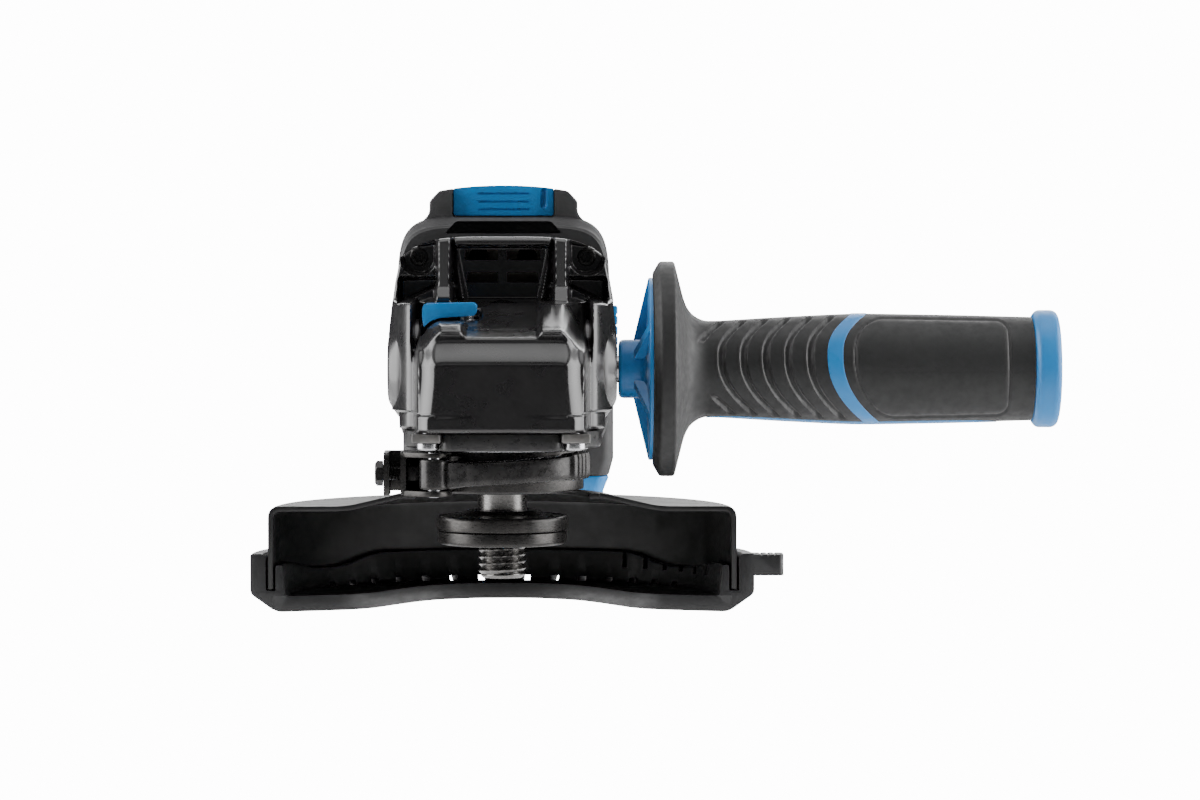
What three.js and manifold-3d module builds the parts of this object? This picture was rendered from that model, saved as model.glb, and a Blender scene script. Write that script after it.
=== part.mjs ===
// Cordless angle grinder, 125 mm class, as an assembly of separate solids.
// Millimetres. Origin at the tip of the spindle, +Z up along the spindle axis,
// +X towards the side handle, +Y towards the battery. The nose faces -Y.
import * as THREE from 'three';
import { mergeVertices } from 'three/addons/utils/BufferGeometryUtils.js';
import Module from 'manifold-3d';

const wasm = await Module();
wasm.setup();

// ---- driving dimensions ----
const GAP = 0.3; // air between two pieces that touch on the real tool
const MOTOR_Z = 68; // height of the motor axis, which crosses the spindle axis
const CASE_BOTTOM = 43.3; // underside of the gear case
const CASE_REAR = 38; // rear face of the gear case
const HOUSING_FRONT = CASE_REAR + GAP;
const HOUSING_REAR = 112;
const GRIP_REAR = 213; // rear face of the grip's foot
const PACK_REAR = 265;
const PACK_TOP = 96.5;
const FLOOR = -10.1; // lowest plane: clip-on cover and battery stand on it
const SPINDLE_THREAD_R = 7; // M14
const FLANGE_R = 18.8;
const COLLAR_R = 21; // neck of the bearing cover that carries the guard
const GUARD_R = 67.5;
const GUARD_TOP = 20.5;
const SHEET = 1.5; // steel sheet of the guard
const COVER_R = 72.6;
const COVER_TOP = 6.8;
const HANDLE_Y = 8; // the side handle's axis
const HANDLE_Z = 59.8;
const LOCK = { x: -10.2, y: -5 }; // spindle lock pin
const SWITCH_TRAVEL = 7; // the slider and its rod move this far towards the nose
const TEETH = { ring: 30, pinion: 10, module: 1.4, faceShare: 0.3 };

// ---- materials ----
const finish = (color, roughness, metalness) =>
  new THREE.MeshStandardMaterial({ color, roughness, metalness });
const glossBlack = finish(0x15161a, 0.25, 0.3);
const mattGrey = finish(0x3c3d3f, 0.75, 0);
const softBlack = finish(0x242526, 0.9, 0);
const blue = finish(0x2f86c4, 0.5, 0);
const guardBlack = finish(0x17181a, 0.45, 0.4);
const coverGrey = finish(0x2b2c2e, 0.6, 0);
const steel = finish(0x8f9296, 0.35, 0.9);
const darkSteel = finish(0x2a2b2d, 0.4, 0.8);
const copper = finish(0xb06a35, 0.4, 0.8);
const paleGrey = finish(0xa8a39a, 0.7, 0);
const boardGreen = finish(0x1f5a3a, 0.6, 0);
const cellSleeve = finish(0x3d6f8f, 0.5, 0);

// ---- joining and cutting ----
// closed solid from a geometry; one that was drawn inside out is turned over
function solid(geometry) {
  geometry.deleteAttribute('normal');
  geometry.deleteAttribute('uv');
  const merged = mergeVertices(geometry, 1e-4);
  const vertProperties = new Float32Array(merged.attributes.position.array);
  const triVerts = new Uint32Array(merged.index.array);
  const made = new wasm.Manifold(new wasm.Mesh({ numProp: 3, vertProperties, triVerts }));
  if (made.volume() >= 0) return made;
  for (let i = 0; i < triVerts.length; i += 3) {
    [triVerts[i + 1], triVerts[i + 2]] = [triVerts[i + 2], triVerts[i + 1]];
  }
  return new wasm.Manifold(new wasm.Mesh({ numProp: 3, vertProperties, triVerts }));
}

function geometryOf(manifold) {
  const mesh = manifold.getMesh();
  const geometry = new THREE.BufferGeometry();
  geometry.setAttribute('position', new THREE.BufferAttribute(mesh.vertProperties, 3));
  geometry.setIndex(new THREE.BufferAttribute(mesh.triVerts, 1));
  return geometry;
}

const join = (first, ...rest) => rest.reduce((a, b) => a.add(b), first);
const cut = (first, ...rest) => rest.reduce((a, b) => a.subtract(b), first);

// ---- basic solids ----
function box(x0, x1, y0, y1, z0, z1) {
  const geometry = new THREE.BoxGeometry(x1 - x0, y1 - y0, z1 - z0);
  geometry.translate((x0 + x1) / 2, (y0 + y1) / 2, (z0 + z1) / 2);
  return solid(geometry);
}

// turns geometry made along Z so that it runs along the named axis, then moves it
function lay(geometry, axis, at) {
  if (axis === 'x') geometry.rotateY(Math.PI / 2);
  if (axis === 'y') geometry.rotateX(-Math.PI / 2);
  geometry.translate(at[0], at[1], at[2]);
  return solid(geometry);
}

// round bar from a to b along an axis through the point at
function bar(axis, radius, a, b, at = [0, 0, 0], sides = 16) {
  const geometry = new THREE.CylinderGeometry(radius, radius, b - a, sides);
  geometry.rotateX(Math.PI / 2);
  geometry.translate(0, 0, (a + b) / 2);
  return lay(geometry, axis, at);
}

// profile of [radius, distance along the axis] pairs turned about an axis; starts and ends at radius 0,
// or closes on itself
function turned(axis, profile, at = [0, 0, 0], sides = 24) {
  const points = profile.map(([r, h]) => new THREE.Vector2(r, h));
  const geometry = new THREE.LatheGeometry(points, sides);
  geometry.rotateX(Math.PI / 2);
  return lay(geometry, axis, at);
}

// ring of rectangular section
const ring = (axis, inner, outer, a, b, at, sides) =>
  turned(axis, [[inner, a], [outer, a], [outer, b], [inner, b], [inner, a]], at, sides);

// flat outline of [u, v] pairs pushed from a to b: along 'z' (u = x, v = y), 'y' (u = x, v = z)
// or 'x' (u = y, v = z)
function prism(axis, outline, a, b) {
  const shape = new THREE.Shape(outline.map(([u, v]) => new THREE.Vector2(u, v)));
  const geometry = new THREE.ExtrudeGeometry(shape, { depth: b - a, bevelEnabled: false });
  geometry.translate(0, 0, a);
  if (axis === 'y') {
    geometry.rotateX(Math.PI / 2);
    geometry.scale(1, -1, 1);
  }
  if (axis === 'x') {
    geometry.rotateX(Math.PI / 2);
    geometry.rotateZ(Math.PI / 2);
  }
  return solid(geometry);
}

// closed skin over rings of points; each ring has the same number of points
function loft(rings) {
  const n = rings[0].length;
  const positions = rings.flat(2);
  const index = [];
  for (let k = 0; k + 1 < rings.length; k += 1) {
    for (let i = 0; i < n; i += 1) {
      const a = k * n + i;
      const b = k * n + (i + 1) % n;
      index.push(a, b, b + n, a, b + n, a + n);
    }
  }
  const contour = rings[0].map((p) => new THREE.Vector2(...flatten(rings[0], p)));
  const faces = THREE.ShapeUtils.triangulateShape(contour, []);
  const last = (rings.length - 1) * n;
  for (const face of faces) {
    const [a, b, c] = face.sort((p, q) => p - q);
    index.push(a, c, b, last + a, last + b, last + c);
  }
  return shell(positions, index);
}

// the two coordinates that span a planar ring
function flatten(points, p) {
  const spread = [0, 1, 2].map((k) => {
    const along = points.map((q) => q[k]);
    return Math.max(...along) - Math.min(...along);
  });
  const flat = spread.indexOf(Math.min(...spread));
  return [0, 1, 2].filter((k) => k !== flat).map((k) => p[k]);
}

// closed solid from positions and triangles
function shell(positions, index) {
  const geometry = new THREE.BufferGeometry();
  geometry.setAttribute('position', new THREE.Float32BufferAttribute(positions, 3));
  geometry.setIndex(index);
  return solid(geometry);
}

// a half outline and its mirror image, as one closed outline about u = 0
const mirrored = (half) => [...half, ...half.filter(([u]) => u !== 0).map(([u, v]) => [-u, v]).reverse()];

// round stretch of an outline
function arc(cu, cv, radius, from, to, steps) {
  const points = [];
  for (let i = 0; i <= steps; i += 1) {
    const angle = THREE.MathUtils.degToRad(from + (to - from) * i / steps);
    points.push([cu + radius * Math.cos(angle), cv + radius * Math.sin(angle)]);
  }
  return points;
}

// ---- the assembly ----
const group = new THREE.Group();
function add(name, material, manifold) {
  const mesh = new THREE.Mesh(geometryOf(manifold), material);
  mesh.name = name;
  group.add(mesh);
}

const onMotor = [0, 0, MOTOR_Z];
const CASE_SCREWS = [[-24.4, 92], [24.4, 92], [-26.5, 47], [26.5, 47]];
const COVER_SCREWS = [[-20.5, -30.5], [20.5, -30.5], [-22, 27], [22, 27]];

// ---- gear case ----
// plan outline of the case at one height: nose half-width and front, flank half-width
function casePlan(z, nose, front, flank) {
  const half = [[0, front], [nose - 4, front], [nose, front + 6], [flank - 2.5, -8], [flank, 10],
    [flank, CASE_REAR]];
  return mirrored(half).map(([x, y]) => [x, y, z]);
}

function gearCase() {
  const body = loft([
    casePlan(CASE_BOTTOM, 24, -38.5, 31.4),
    casePlan(48, 24.7, -39, 31.9),
    casePlan(63.3, 24.7, -39, 33.1),
    casePlan(69, 21.5, -33, 33.1),
    casePlan(71, 21, -28, 33.0),
    casePlan(75.5, 21, -10.5, 32.6),
    casePlan(79.6, 21, 4, 32),
  ]);
  const rim = [[0, 98], [10, 97.8], [19, 97.1], [25, 95.8], [28.5, 93.7], [30, 91], [31.2, 86], [32, 79],
    [32, 75], [0, 75]];
  const flange = prism('y', mirrored(rim), 20, CASE_REAR);
  const window = prism('y', mirrored([[0, 97.5], [18.8, 96.8], [18.8, 79], [0, 79]]), 12, 21);
  const pillars = [-1, 1].map((side) => prism('x', [[4, 78], [21, 78], [21, 97], [9, 97]], 14.2, 18.8)
    .translate([side > 0 ? 0 : -33, 0, 0]));
  const shelf = [-1, 1].map((side) => box(side > 0 ? 18 : -31, side > 0 ? 31 : -18, 10, 22, 78.5, 83));
  const bosses = [-1, 1].map((side) => bar('x', 12, side > 0 ? 24 : -33.2, side > 0 ? 33.2 : -24,
    [0, HANDLE_Y, HANDLE_Z]));
  const outer = join(body, flange, window, ...pillars, ...shelf, ...bosses);

  const gearRoom = bar('z', 24.6, CASE_BOTTOM - 1, 64.5, [0, 0, 0], 30);
  const upperSeat = bar('z', 8.3, 64, 72, [0, 0, 0], 24);
  const tunnel = bar('y', 11.5, 5, CASE_REAR + 1, onMotor, 24);
  const roomHalf = [[0, 95.5], [13, 95], [17, 86], [17, 82], [0, 82]];
  const rearRoom = prism('y', mirrored(roomHalf), 16, CASE_REAR + 1);
  const slots = [];
  for (const side of [-1, 1]) {
    for (const [z0, z1, x1] of [[91.2, 94.3, 11.1], [84.7, 87.7, 10.5]]) {
      slots.push(side > 0 ? box(1.3, x1, 8, 18, z0, z1) : box(-x1, -1.3, 8, 18, z0, z1));
    }
  }
  const lockPocket = box(-23, -6.6, -14, -1.2, 70.6, 84);
  const lockBore = bar('z', 2.6, 63, 71, [LOCK.x, LOCK.y, 0], 16);
  const handleBores = [-1, 1].map((side) => bar('x', 4.3, side > 0 ? 23 : -34, side > 0 ? 34 : -23,
    [0, HANDLE_Y, HANDLE_Z], 20));
  const caseBores = CASE_SCREWS.map(([x, z]) => bar('y', 2.4, 10, CASE_REAR + 1, [x, 0, z], 12));
  const headRooms = CASE_SCREWS.map(([x, z]) => bar('y', 4.2, z > MOTOR_Z ? 2 : -5, 24, [x, 0, z], 16));
  const coverBores = COVER_SCREWS.map(([x, y]) => bar('z', 2.0, CASE_BOTTOM - 1, 58, [x, y, 0], 12));
  return cut(outer, gearRoom, upperSeat, tunnel, rearRoom, ...slots, lockPocket, lockBore, ...handleBores,
    ...caseBores, ...headRooms, ...coverBores);
}
add('gear_case', glossBlack, gearCase());

// screw with a round head and a hex socket: shaft towards +axis, head below the given start
function screw(axis, start, length, at) {
  const shaft = bar(axis, 1.8, start - 0.5, start + length, at, 8);
  const head = bar(axis, 3.3, start - 3, start, at, 12);
  const socket = bar(axis, 1.5, start - 3.5, start - 1.4, at, 6);
  return cut(join(shaft, head), socket);
}
CASE_SCREWS.forEach(([x, z], i) => add(`gear_case_screw_${i + 1}`, darkSteel,
  screw('y', 24 - GAP, 34, [x, 0, z])));

// ---- bearing cover and its neck ----
function bearingCover() {
  const half = [[0, -37], [18, -37], [24, -33], [29, -8], [29.5, 10], [29.5, 30], [26, 36], [0, 36]];
  const plate = prism('z', mirrored(half), 38, CASE_BOTTOM - GAP);
  const neck = bar('z', COLLAR_R, 25, 39, [0, 0, 0], 30);
  const seat = bar('z', 16.3, 30, CASE_BOTTOM + 1, [0, 0, 0], 24);
  const bore = bar('z', 8, 20, 31, [0, 0, 0], 24);
  const holes = COVER_SCREWS.map(([x, y]) => bar('z', 2.1, 37, CASE_BOTTOM + 1, [x, y, 0], 10));
  const headRooms = COVER_SCREWS.map(([x, y]) => bar('z', 3.7, 37, 40.8, [x, y, 0], 12));
  return cut(join(plate, neck), seat, bore, ...holes, ...headRooms);
}
add('bearing_cover', steel, bearingCover());
COVER_SCREWS.forEach(([x, y], i) => {
  const head = cut(bar('z', 3.2, 38.2, 40.5, [x, y, 0], 12), bar('z', 1.4, 38, 39.4, [x, y, 0], 6));
  add(`cover_screw_${i + 1}`, darkSteel, join(head, bar('z', 1.6, 40, 55, [x, y, 0], 8)));
});

add('air_baffle', paleGrey, cut(
  prism('y', mirrored([[0, 94.9], [12.6, 94.4], [16.4, 86], [16.4, 82.4], [0, 82.4]]), 27, 28.5),
  ...[-1, 1].map((side) => bar('y', 3, 26, 30, [side * 7, 0, 92], 16))));

// ---- motor housing ----
// rounded square section of the housing: half-width, bottom and top at one depth
function housingRing(y, width, bottom, top, corner, inset = 0) {
  const w = width - inset;
  const lo = bottom + inset;
  const hi = top - inset;
  const r = Math.max(corner - inset, 1);
  const half = [[0, lo], ...arc(w - r, lo + r, r, -90, 0, 5), ...arc(w - r, hi - r, r, 0, 90, 5), [0, hi]];
  return mirrored(half).map(([x, z]) => [x, y, z]);
}

const ROD_FRONT = 56; // front end of the slider's push rod

function motorHousing() {
  const skin = loft([
    housingRing(HOUSING_FRONT, 31, 35, 101, 13),
    housingRing(44, 31.5, 34, 104.4, 13),
    housingRing(74, 31, 34.5, 104.4, 14),
    housingRing(98, 30.5, 36, 104, 14),
    housingRing(HOUSING_REAR, 27, 40, 98, 14),
  ]);
  const shoulder = [[0, 112.1], [15.3, 112.1], [19.1, 111.5], [22, 108.4], [22, 102], [0, 98]];
  const block = prism('y', mirrored(shoulder), 43.4, 92);
  const slot = box(-15.2, 15.2, 42, 88, 103.6, 116);
  const rodRoom = box(-3.2, 3.2, ROD_FRONT - SWITCH_TRAVEL - GAP, 97.4, 98, 104);
  const barrel = join(
    bar('y', 27.8, HOUSING_FRONT - 1, 99, onMotor, 28),
    bar('y', 25.4, 98, 104, onMotor, 28),
    bar('y', 20, 103, HOUSING_REAR + 1, onMotor, 24),
  );
  const screwRooms = CASE_SCREWS.map(([x, z]) => bar('y', 2.1, HOUSING_FRONT - 1, 62, [x, 0, z], 12));
  return cut(join(skin, block), slot, rodRoom, barrel, ...screwRooms);
}
add('motor_housing', mattGrey, motorHousing());

// ---- grip shells, left and right of the middle plane ----
function gripSkin(inset, front, rear) {
  return loft([
    housingRing(front, 27, 40, 98, 14, inset),
    housingRing(126, 22.5, 45, 93, 14, inset),
    housingRing(160, 21.5, 45, 91, 14, inset),
    housingRing(188, 23, 42, 92, 14, inset),
    housingRing(200, 29, 24, 94, 14, inset),
    housingRing(rear, 31, 14, 95, 10, inset),
  ]);
}
function gripShell(side) {
  const outer = gripSkin(0, HOUSING_REAR + GAP, GRIP_REAR);
  const inner = gripSkin(3, HOUSING_REAR - 1, GRIP_REAR - 4);
  const stem = join(box(-22, 22, GRIP_REAR - 1, 218, 30.3, 93), box(-26, 26, 217, 221, 30.3, 93));
  const window = box(-15, 15, 205, 223, 40, 78);
  const bladeChannel = box(-11, 11, 216.5, 223, 28, 42);
  const half = side > 0 ? box(GAP / 2, 40, 100, 230, 0, 120) : box(-40, -GAP / 2, 100, 230, 0, 120);
  return cut(join(outer, stem), inner, window, bladeChannel).intersect(half);
}
add('grip_shell_left', softBlack, gripShell(-1));
add('grip_shell_right', softBlack, gripShell(1));

// ---- motor ----
add('stator', darkSteel, ring('y', 14, 27.4, 62, 98, onMotor, 24));
add('winding_front', copper, ring('y', 15, 25, 56.5, 61.7, onMotor, 24));
add('winding_rear', copper, ring('y', 15, 24.6, 98.3, 103, onMotor, 24));
add('motor_bearing_front', steel, ring('y', 4.3, 11.2, 28.5, 36, onMotor, 24));
add('motor_bearing_rear', steel, ring('y', 4.3, 10, 104, 110, onMotor, 24));
add('rotor_core', darkSteel, ring('y', 4.3, 13.2, 63, 97, onMotor, 24));
const shaftProfile = [[0, 15.5], [2.5, 15.5], [2.5, 27.6], [4, 28.2], [4, 111], [0, 111]];
add('rotor_shaft', steel, turned('y', shaftProfile, onMotor, 20));

function fan() {
  let wheel = cut(join(bar('y', 26, 50, 51.6, onMotor, 24), bar('y', 8, 44, 51, onMotor, 20)),
    bar('y', 4.3, 40, 55, onMotor, 20));
  for (let i = 0; i < 9; i += 1) {
    const blade = box(9, 25, 43, 50.5, -0.7, 0.7).rotate([0, i * 40, 0]).translate([0, 0, MOTOR_Z]);
    wheel = wheel.add(blade);
  }
  return wheel;
}
add('fan', paleGrey, fan());

// ---- bevel gears: straight teeth that all point at the crossing of the two axes ----
const RING_R = TEETH.module * TEETH.ring / 2;
const PINION_R = TEETH.module * TEETH.pinion / 2;
const PRESSURE = THREE.MathUtils.degToRad(20); // pressure angle
const BACKLASH = 0.12; // taken off each flank

// toothed ring: outer tooth line, the same line drawn in towards the apex, and a plain base on each end
function toothedRing(teethLine, baseOuter, baseInner) {
  const inner = teethLine.map((p) => p.map((v) => v * (1 - TEETH.faceShare)));
  const rows = [
    teethLine.map((p) => baseOuter(Math.atan2(p[1], p[0]))),
    teethLine,
    inner,
    teethLine.map((p) => baseInner(Math.atan2(p[1], p[0]))),
  ];
  const n = teethLine.length;
  const index = [];
  for (let k = 0; k < 4; k += 1) {
    for (let i = 0; i < n; i += 1) {
      const a = k * n + i;
      const b = k * n + (i + 1) % n;
      const c = ((k + 1) % 4) * n + (i + 1) % n;
      const d = ((k + 1) % 4) * n + i;
      index.push(a, b, c, a, c, d);
    }
  }
  return shell(rows.flat(2), index);
}

// ring gear: near-flat gear, so its teeth have straight flanks; axis Z, apex at the origin
function ringTeeth() {
  const cone = Math.atan2(RING_R, PINION_R);
  const along = [Math.cos(cone), Math.sin(cone)]; // tooth height in [radial, up]
  const line = [];
  const halfPitch = TEETH.module * Math.PI / 4 - BACKLASH;
  const place = (angle, s, h) => {
    const r = RING_R + h * along[0];
    const a = angle + s / RING_R;
    return [r * Math.cos(a), r * Math.sin(a), -PINION_R + h * along[1]];
  };
  const tip = 0.75 * TEETH.module;
  const root = -1.25 * TEETH.module;
  for (let i = 0; i < TEETH.ring; i += 1) {
    const angle = Math.PI / 2 + (i + 0.5) * 2 * Math.PI / TEETH.ring;
    for (const [side, h] of [[-1, root], [-1, tip], [1, tip], [1, root]]) {
      line.push(place(angle, side * (halfPitch - h * Math.tan(PRESSURE)), h));
    }
  }
  return toothedRing(line,
    (a) => [21 * Math.cos(a), 21 * Math.sin(a), -13],
    (a) => [14 * Math.cos(a), 14 * Math.sin(a), -13]);
}

// pinion: involute flanks laid on its back cone; made about Z with the apex at the origin
function pinionTeeth() {
  const cone = Math.atan2(PINION_R, RING_R);
  const virtual = PINION_R / Math.cos(cone);
  const base = virtual * Math.cos(PRESSURE);
  const involute = (angle) => Math.tan(angle) - angle;
  const halfAngle = (TEETH.module * Math.PI / 4 - BACKLASH) / virtual;
  const flank = (r) => {
    if (r <= base) return halfAngle + involute(PRESSURE) - 0.05 * (base - r);
    return halfAngle + involute(PRESSURE) - involute(Math.acos(base / r));
  };
  const radii = [virtual - TEETH.module, base, virtual + 0.35 * TEETH.module, virtual + TEETH.module];
  const line = [];
  for (let i = 0; i < TEETH.pinion; i += 1) {
    const angle = i * 2 * Math.PI / TEETH.pinion;
    const place = (r, side) => {
      const a = angle + side * flank(r) / Math.cos(cone);
      const radial = r * Math.cos(cone);
      return [radial * Math.cos(a), radial * Math.sin(a), RING_R + (virtual - r) * Math.sin(cone)];
    };
    radii.forEach((r) => line.push(place(r, -1)));
    [...radii].reverse().forEach((r) => line.push(place(r, 1)));
  }
  return toothedRing(line,
    (a) => [5.2 * Math.cos(a), 5.2 * Math.sin(a), 24],
    (a) => [2.9 * Math.cos(a), 2.9 * Math.sin(a), 15.2]);
}

// ring gear: toothed crown, web with the holes that the lock pin drops into, and hub
function ringGear() {
  const teeth = ringTeeth().translate([0, 0, MOTOR_Z]);
  const web = join(bar('z', 14.6, 52, 56, [0, 0, 0], 24), bar('z', 8.6, 50, 59, [0, 0, 0], 24),
    bar('z', 20, 52, 55.5, [0, 0, 0], 24));
  const pinAngle = Math.atan2(LOCK.y, LOCK.x);
  const pinRadius = Math.hypot(LOCK.x, LOCK.y);
  const holes = [0, 1, 2, 3].map((i) => {
    const a = pinAngle + i * Math.PI / 2;
    return bar('z', 2.6, 49, 57, [pinRadius * Math.cos(a), pinRadius * Math.sin(a), 0], 12);
  });
  return cut(join(teeth, web), bar('z', 6.3, 45, 62, [0, 0, 0], 24), ...holes);
}
add('ring_gear', darkSteel, ringGear());

function pinion() {
  // the pinion is made about Z; its axis then points along +Y, tooth towards -Z
  const teeth = pinionTeeth().rotate([-90, 0, 0]).rotate([0, 90, 0]).translate([0, 0, MOTOR_Z]);
  const hub = bar('y', 5.6, 23.5, 27.4, onMotor, 24);
  return cut(join(teeth, hub), bar('y', 2.8, 10, 30, onMotor, 16));
}
add('pinion', darkSteel, pinion());

// ---- spindle and flanges ----
const spindleProfile = [[0, 0], [5.6, 0], [SPINDLE_THREAD_R, 1.4], [SPINDLE_THREAD_R, 25.5], [7.6, 26],
  [7.6, 38.5], [6, 39], [6, 64.8], [4, 65.2], [4, 71.4], [0, 71.4]];
add('spindle', steel, turned('z', spindleProfile, [0, 0, 0], 24));
add('spindle_bearing_lower', steel, ring('z', 7.9, 16, 30.3, 40, [0, 0, 0], 24));
add('spindle_bearing_upper', steel, ring('z', 4.3, 8, 65.4, 71, [0, 0, 0], 24));
add('inner_flange', darkSteel, turned('z', [[7.3, 13.9], [FLANGE_R, 13.9], [FLANGE_R, 17.4], [18.2, 18],
  [12, 18.4], [10, 19.6], [7.3, 19.6], [7.3, 13.9]], [0, 0, 0], 30));

const NUT_TOP = 13.6; // the cutting disc would be gripped between here and the inner flange

// threaded flange nut with four holes for a pin spanner
function flangeNut() {
  const profile = [[7.3, 9.8], [17.8, 9.8], [18.5, 10.4], [18.5, NUT_TOP], [7.3, NUT_TOP], [7.3, 9.8]];
  const disc = turned('z', profile, [0, 0, 0], 30);
  const keys = [0, 1, 2, 3].map((i) => bar('z', 2.4, 9, 11.6, [14 * Math.cos(i * Math.PI / 2),
    14 * Math.sin(i * Math.PI / 2), 0], 12));
  return cut(disc, ...keys);
}
add('outer_flange_nut', darkSteel, flangeNut());

// ---- spindle lock ----
const buttonOutline = [[-22.6, 74.3], [-21.2, 74.3], [-18.5, 75.6], [-7, 76.4], [-7, 79.2], [-21.5, 79.2],
  [-22.6, 78.4]];
add('spindle_lock_button', blue, prism('y', buttonOutline, -13.5, -1.6));
add('lock_pin', steel, bar('z', 2.2, 57.6, 75.6, [LOCK.x, LOCK.y, 0], 16));

// open coil spring of thin wire about a vertical axis
function coil(radius, wire, z0, z1, turns, at) {
  const points = [];
  for (let i = 0; i <= turns * 8; i += 1) {
    const a = i * Math.PI / 4;
    const height = z0 + (z1 - z0) * i / (turns * 8);
    points.push(new THREE.Vector3(at[0] + radius * Math.cos(a), at[1] + radius * Math.sin(a), height));
  }
  const section = new THREE.Shape(arc(0, 0, wire, 0, 270, 3).map(([u, v]) => new THREE.Vector2(u, v)));
  const path = new THREE.CatmullRomCurve3(points);
  const along = { steps: turns * 8, extrudePath: path, bevelEnabled: false };
  return solid(new THREE.ExtrudeGeometry(section, along));
}
add('lock_spring', steel, coil(3.1, 0.4, 71.1, 74.2, 3, [LOCK.x, LOCK.y]));

// ---- slide switch on top of the motor housing ----
function slideSwitch() {
  const cap = [[0, 113.1], [8, 112.9], [14.9, 112.2], [14.9, 104.1], [0, 104.1]];
  const body = prism('y', mirrored(cap), 46, 79);
  const grooves = [110.6, 108.2, 106.1].map((z) => box(-7.5, 7.5, 45, 46.8, z - 0.3, z + 0.3));
  return cut(body, ...grooves);
}
add('slide_switch', blue, slideSwitch());
add('switch_rod', steel, box(-2.6, 2.6, ROD_FRONT, 84, 98.4, 103.8));
add('switch_unit', softBlack, join(box(-2.8, 2.8, 86, 96, 98.4, 103.2), box(-0.8, 0.8, 85, 87, 100, 102)));

// ---- electronics in the grip ----
add('control_board', boardGreen, join(box(-15, 15, 140, 190, 56, 57.6),
  ...[150, 163, 176].map((y) => bar('z', 5, 57, 70, [0, y, 0], 16))));
const BLADES = [-9, 0, 9];
add('terminal_block', softBlack, cut(box(-14.5, 14.5, 206, 220.8, 41, 77),
  ...BLADES.map((x) => box(x - 1, x + 1, 216, 224, 30, 90))));

// ---- guard ----
function guardDrum() {
  const outer = [[25, 24.3], [29, 24.3], [45, GUARD_TOP], [GUARD_R - 3, GUARD_TOP],
    ...arc(GUARD_R - 3, GUARD_TOP - 3, 3, 60, 0, 3), [GUARD_R, -3.4]];
  const inner = [[GUARD_R - SHEET, -3.4], ...arc(GUARD_R - 3, GUARD_TOP - 3, 3 - SHEET, 0, 90, 3),
    [45, GUARD_TOP - SHEET], [29, 24.3 - SHEET], [25, 24.3 - SHEET], [25, 24.3]];
  const drum = turned('z', [...outer, ...inner], [0, 0, 0], 48);
  const opening = cut(box(-80, 80, -80, 0, -20, 40), bar('z', 31, -30, 50, [0, 0, 0], 24));
  return cut(drum, opening);
}
add('guard_drum', guardBlack, guardDrum());

// ---- clamp: split band on the neck, drawn together by a screw and an over-centre lever ----
const LEVER_PIN = [-19, -25.6, 0];
const SCREW_AT = [0, -17, 31];
function clampBand() {
  const band = ring('z', COLLAR_R + GAP, COLLAR_R + 2.4, 25.7, 37.2, [0, 0, 0], 30);
  const split = box(-30, 0, -3, 1, 20, 40);
  const ears = [[-33.4, -31.8], [-28.6, -27]].map(([x0, x1]) => box(x0, x1, -23, -9, 24.9, 37.2));
  const web = box(-33.4, -20, -10.5, -9, 25.7, 37.2);
  const fork = [[24.9, 26.4], [35.9, 37.2]].map(([z0, z1]) => prism('z',
    [[-28, -23], [-27, -10], [-19, -10], [-14, -18], [-14.5, -26], [-18, -29.6], [-22, -28]], z0, z1));
  const hole = bar('x', 2.4, -40, -20, SCREW_AT, 16);
  const pinHole = bar('z', 2.1, 20, 40, LEVER_PIN, 16);
  const neckRoom = bar('z', COLLAR_R + GAP, 20, 40, [0, 0, 0], 30);
  return cut(join(cut(band, split), ...ears, web, ...fork), hole, pinHole, neckRoom);
}
add('clamp_band', guardBlack, clampBand());
add('clamp_screw', darkSteel, join(
  bar('x', 2, -34, -19, SCREW_AT, 16),
  bar('x', 3.6, -36, -33.7, SCREW_AT, 6),
));
add('clamp_nut', darkSteel, cut(
  bar('x', 4, -26.7, -23.4, SCREW_AT, 6),
  bar('x', 2.3, -30, -20, SCREW_AT, 16),
));
add('lever_pin', steel, bar('z', 1.8, 24.6, 37.5, LEVER_PIN, 16));

// over-centre lever: hub on the pin, arm along an arc round the neck, rising towards its free end
function clampLever() {
  const rings = [];
  const steps = 10;
  for (let i = 0; i <= steps; i += 1) {
    const share = i / steps;
    const angle = THREE.MathUtils.degToRad(-127 + 92 * share);
    const low = 26.9 + 2.8 * share;
    const inner = 27.6 - 1.2 * share;
    const outer = 31.6 + 2.0 * Math.sin(Math.PI * share);
    const at = (r, z) => [r * Math.cos(angle), r * Math.sin(angle), z];
    rings.push([at(inner, low), at(outer, low), at(outer, low + 7.7), at(inner, low + 7.7)]);
  }
  const hub = bar('z', 4.2, 26.9, 35.5, LEVER_PIN, 20);
  const fork = bar('z', 6.2, 20, 26.7, LEVER_PIN, 20);
  return cut(join(loft(rings), hub), bar('z', 2.1, 20, 40, LEVER_PIN, 16), fork);
}
add('clamp_lever', guardBlack, clampLever());

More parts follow.
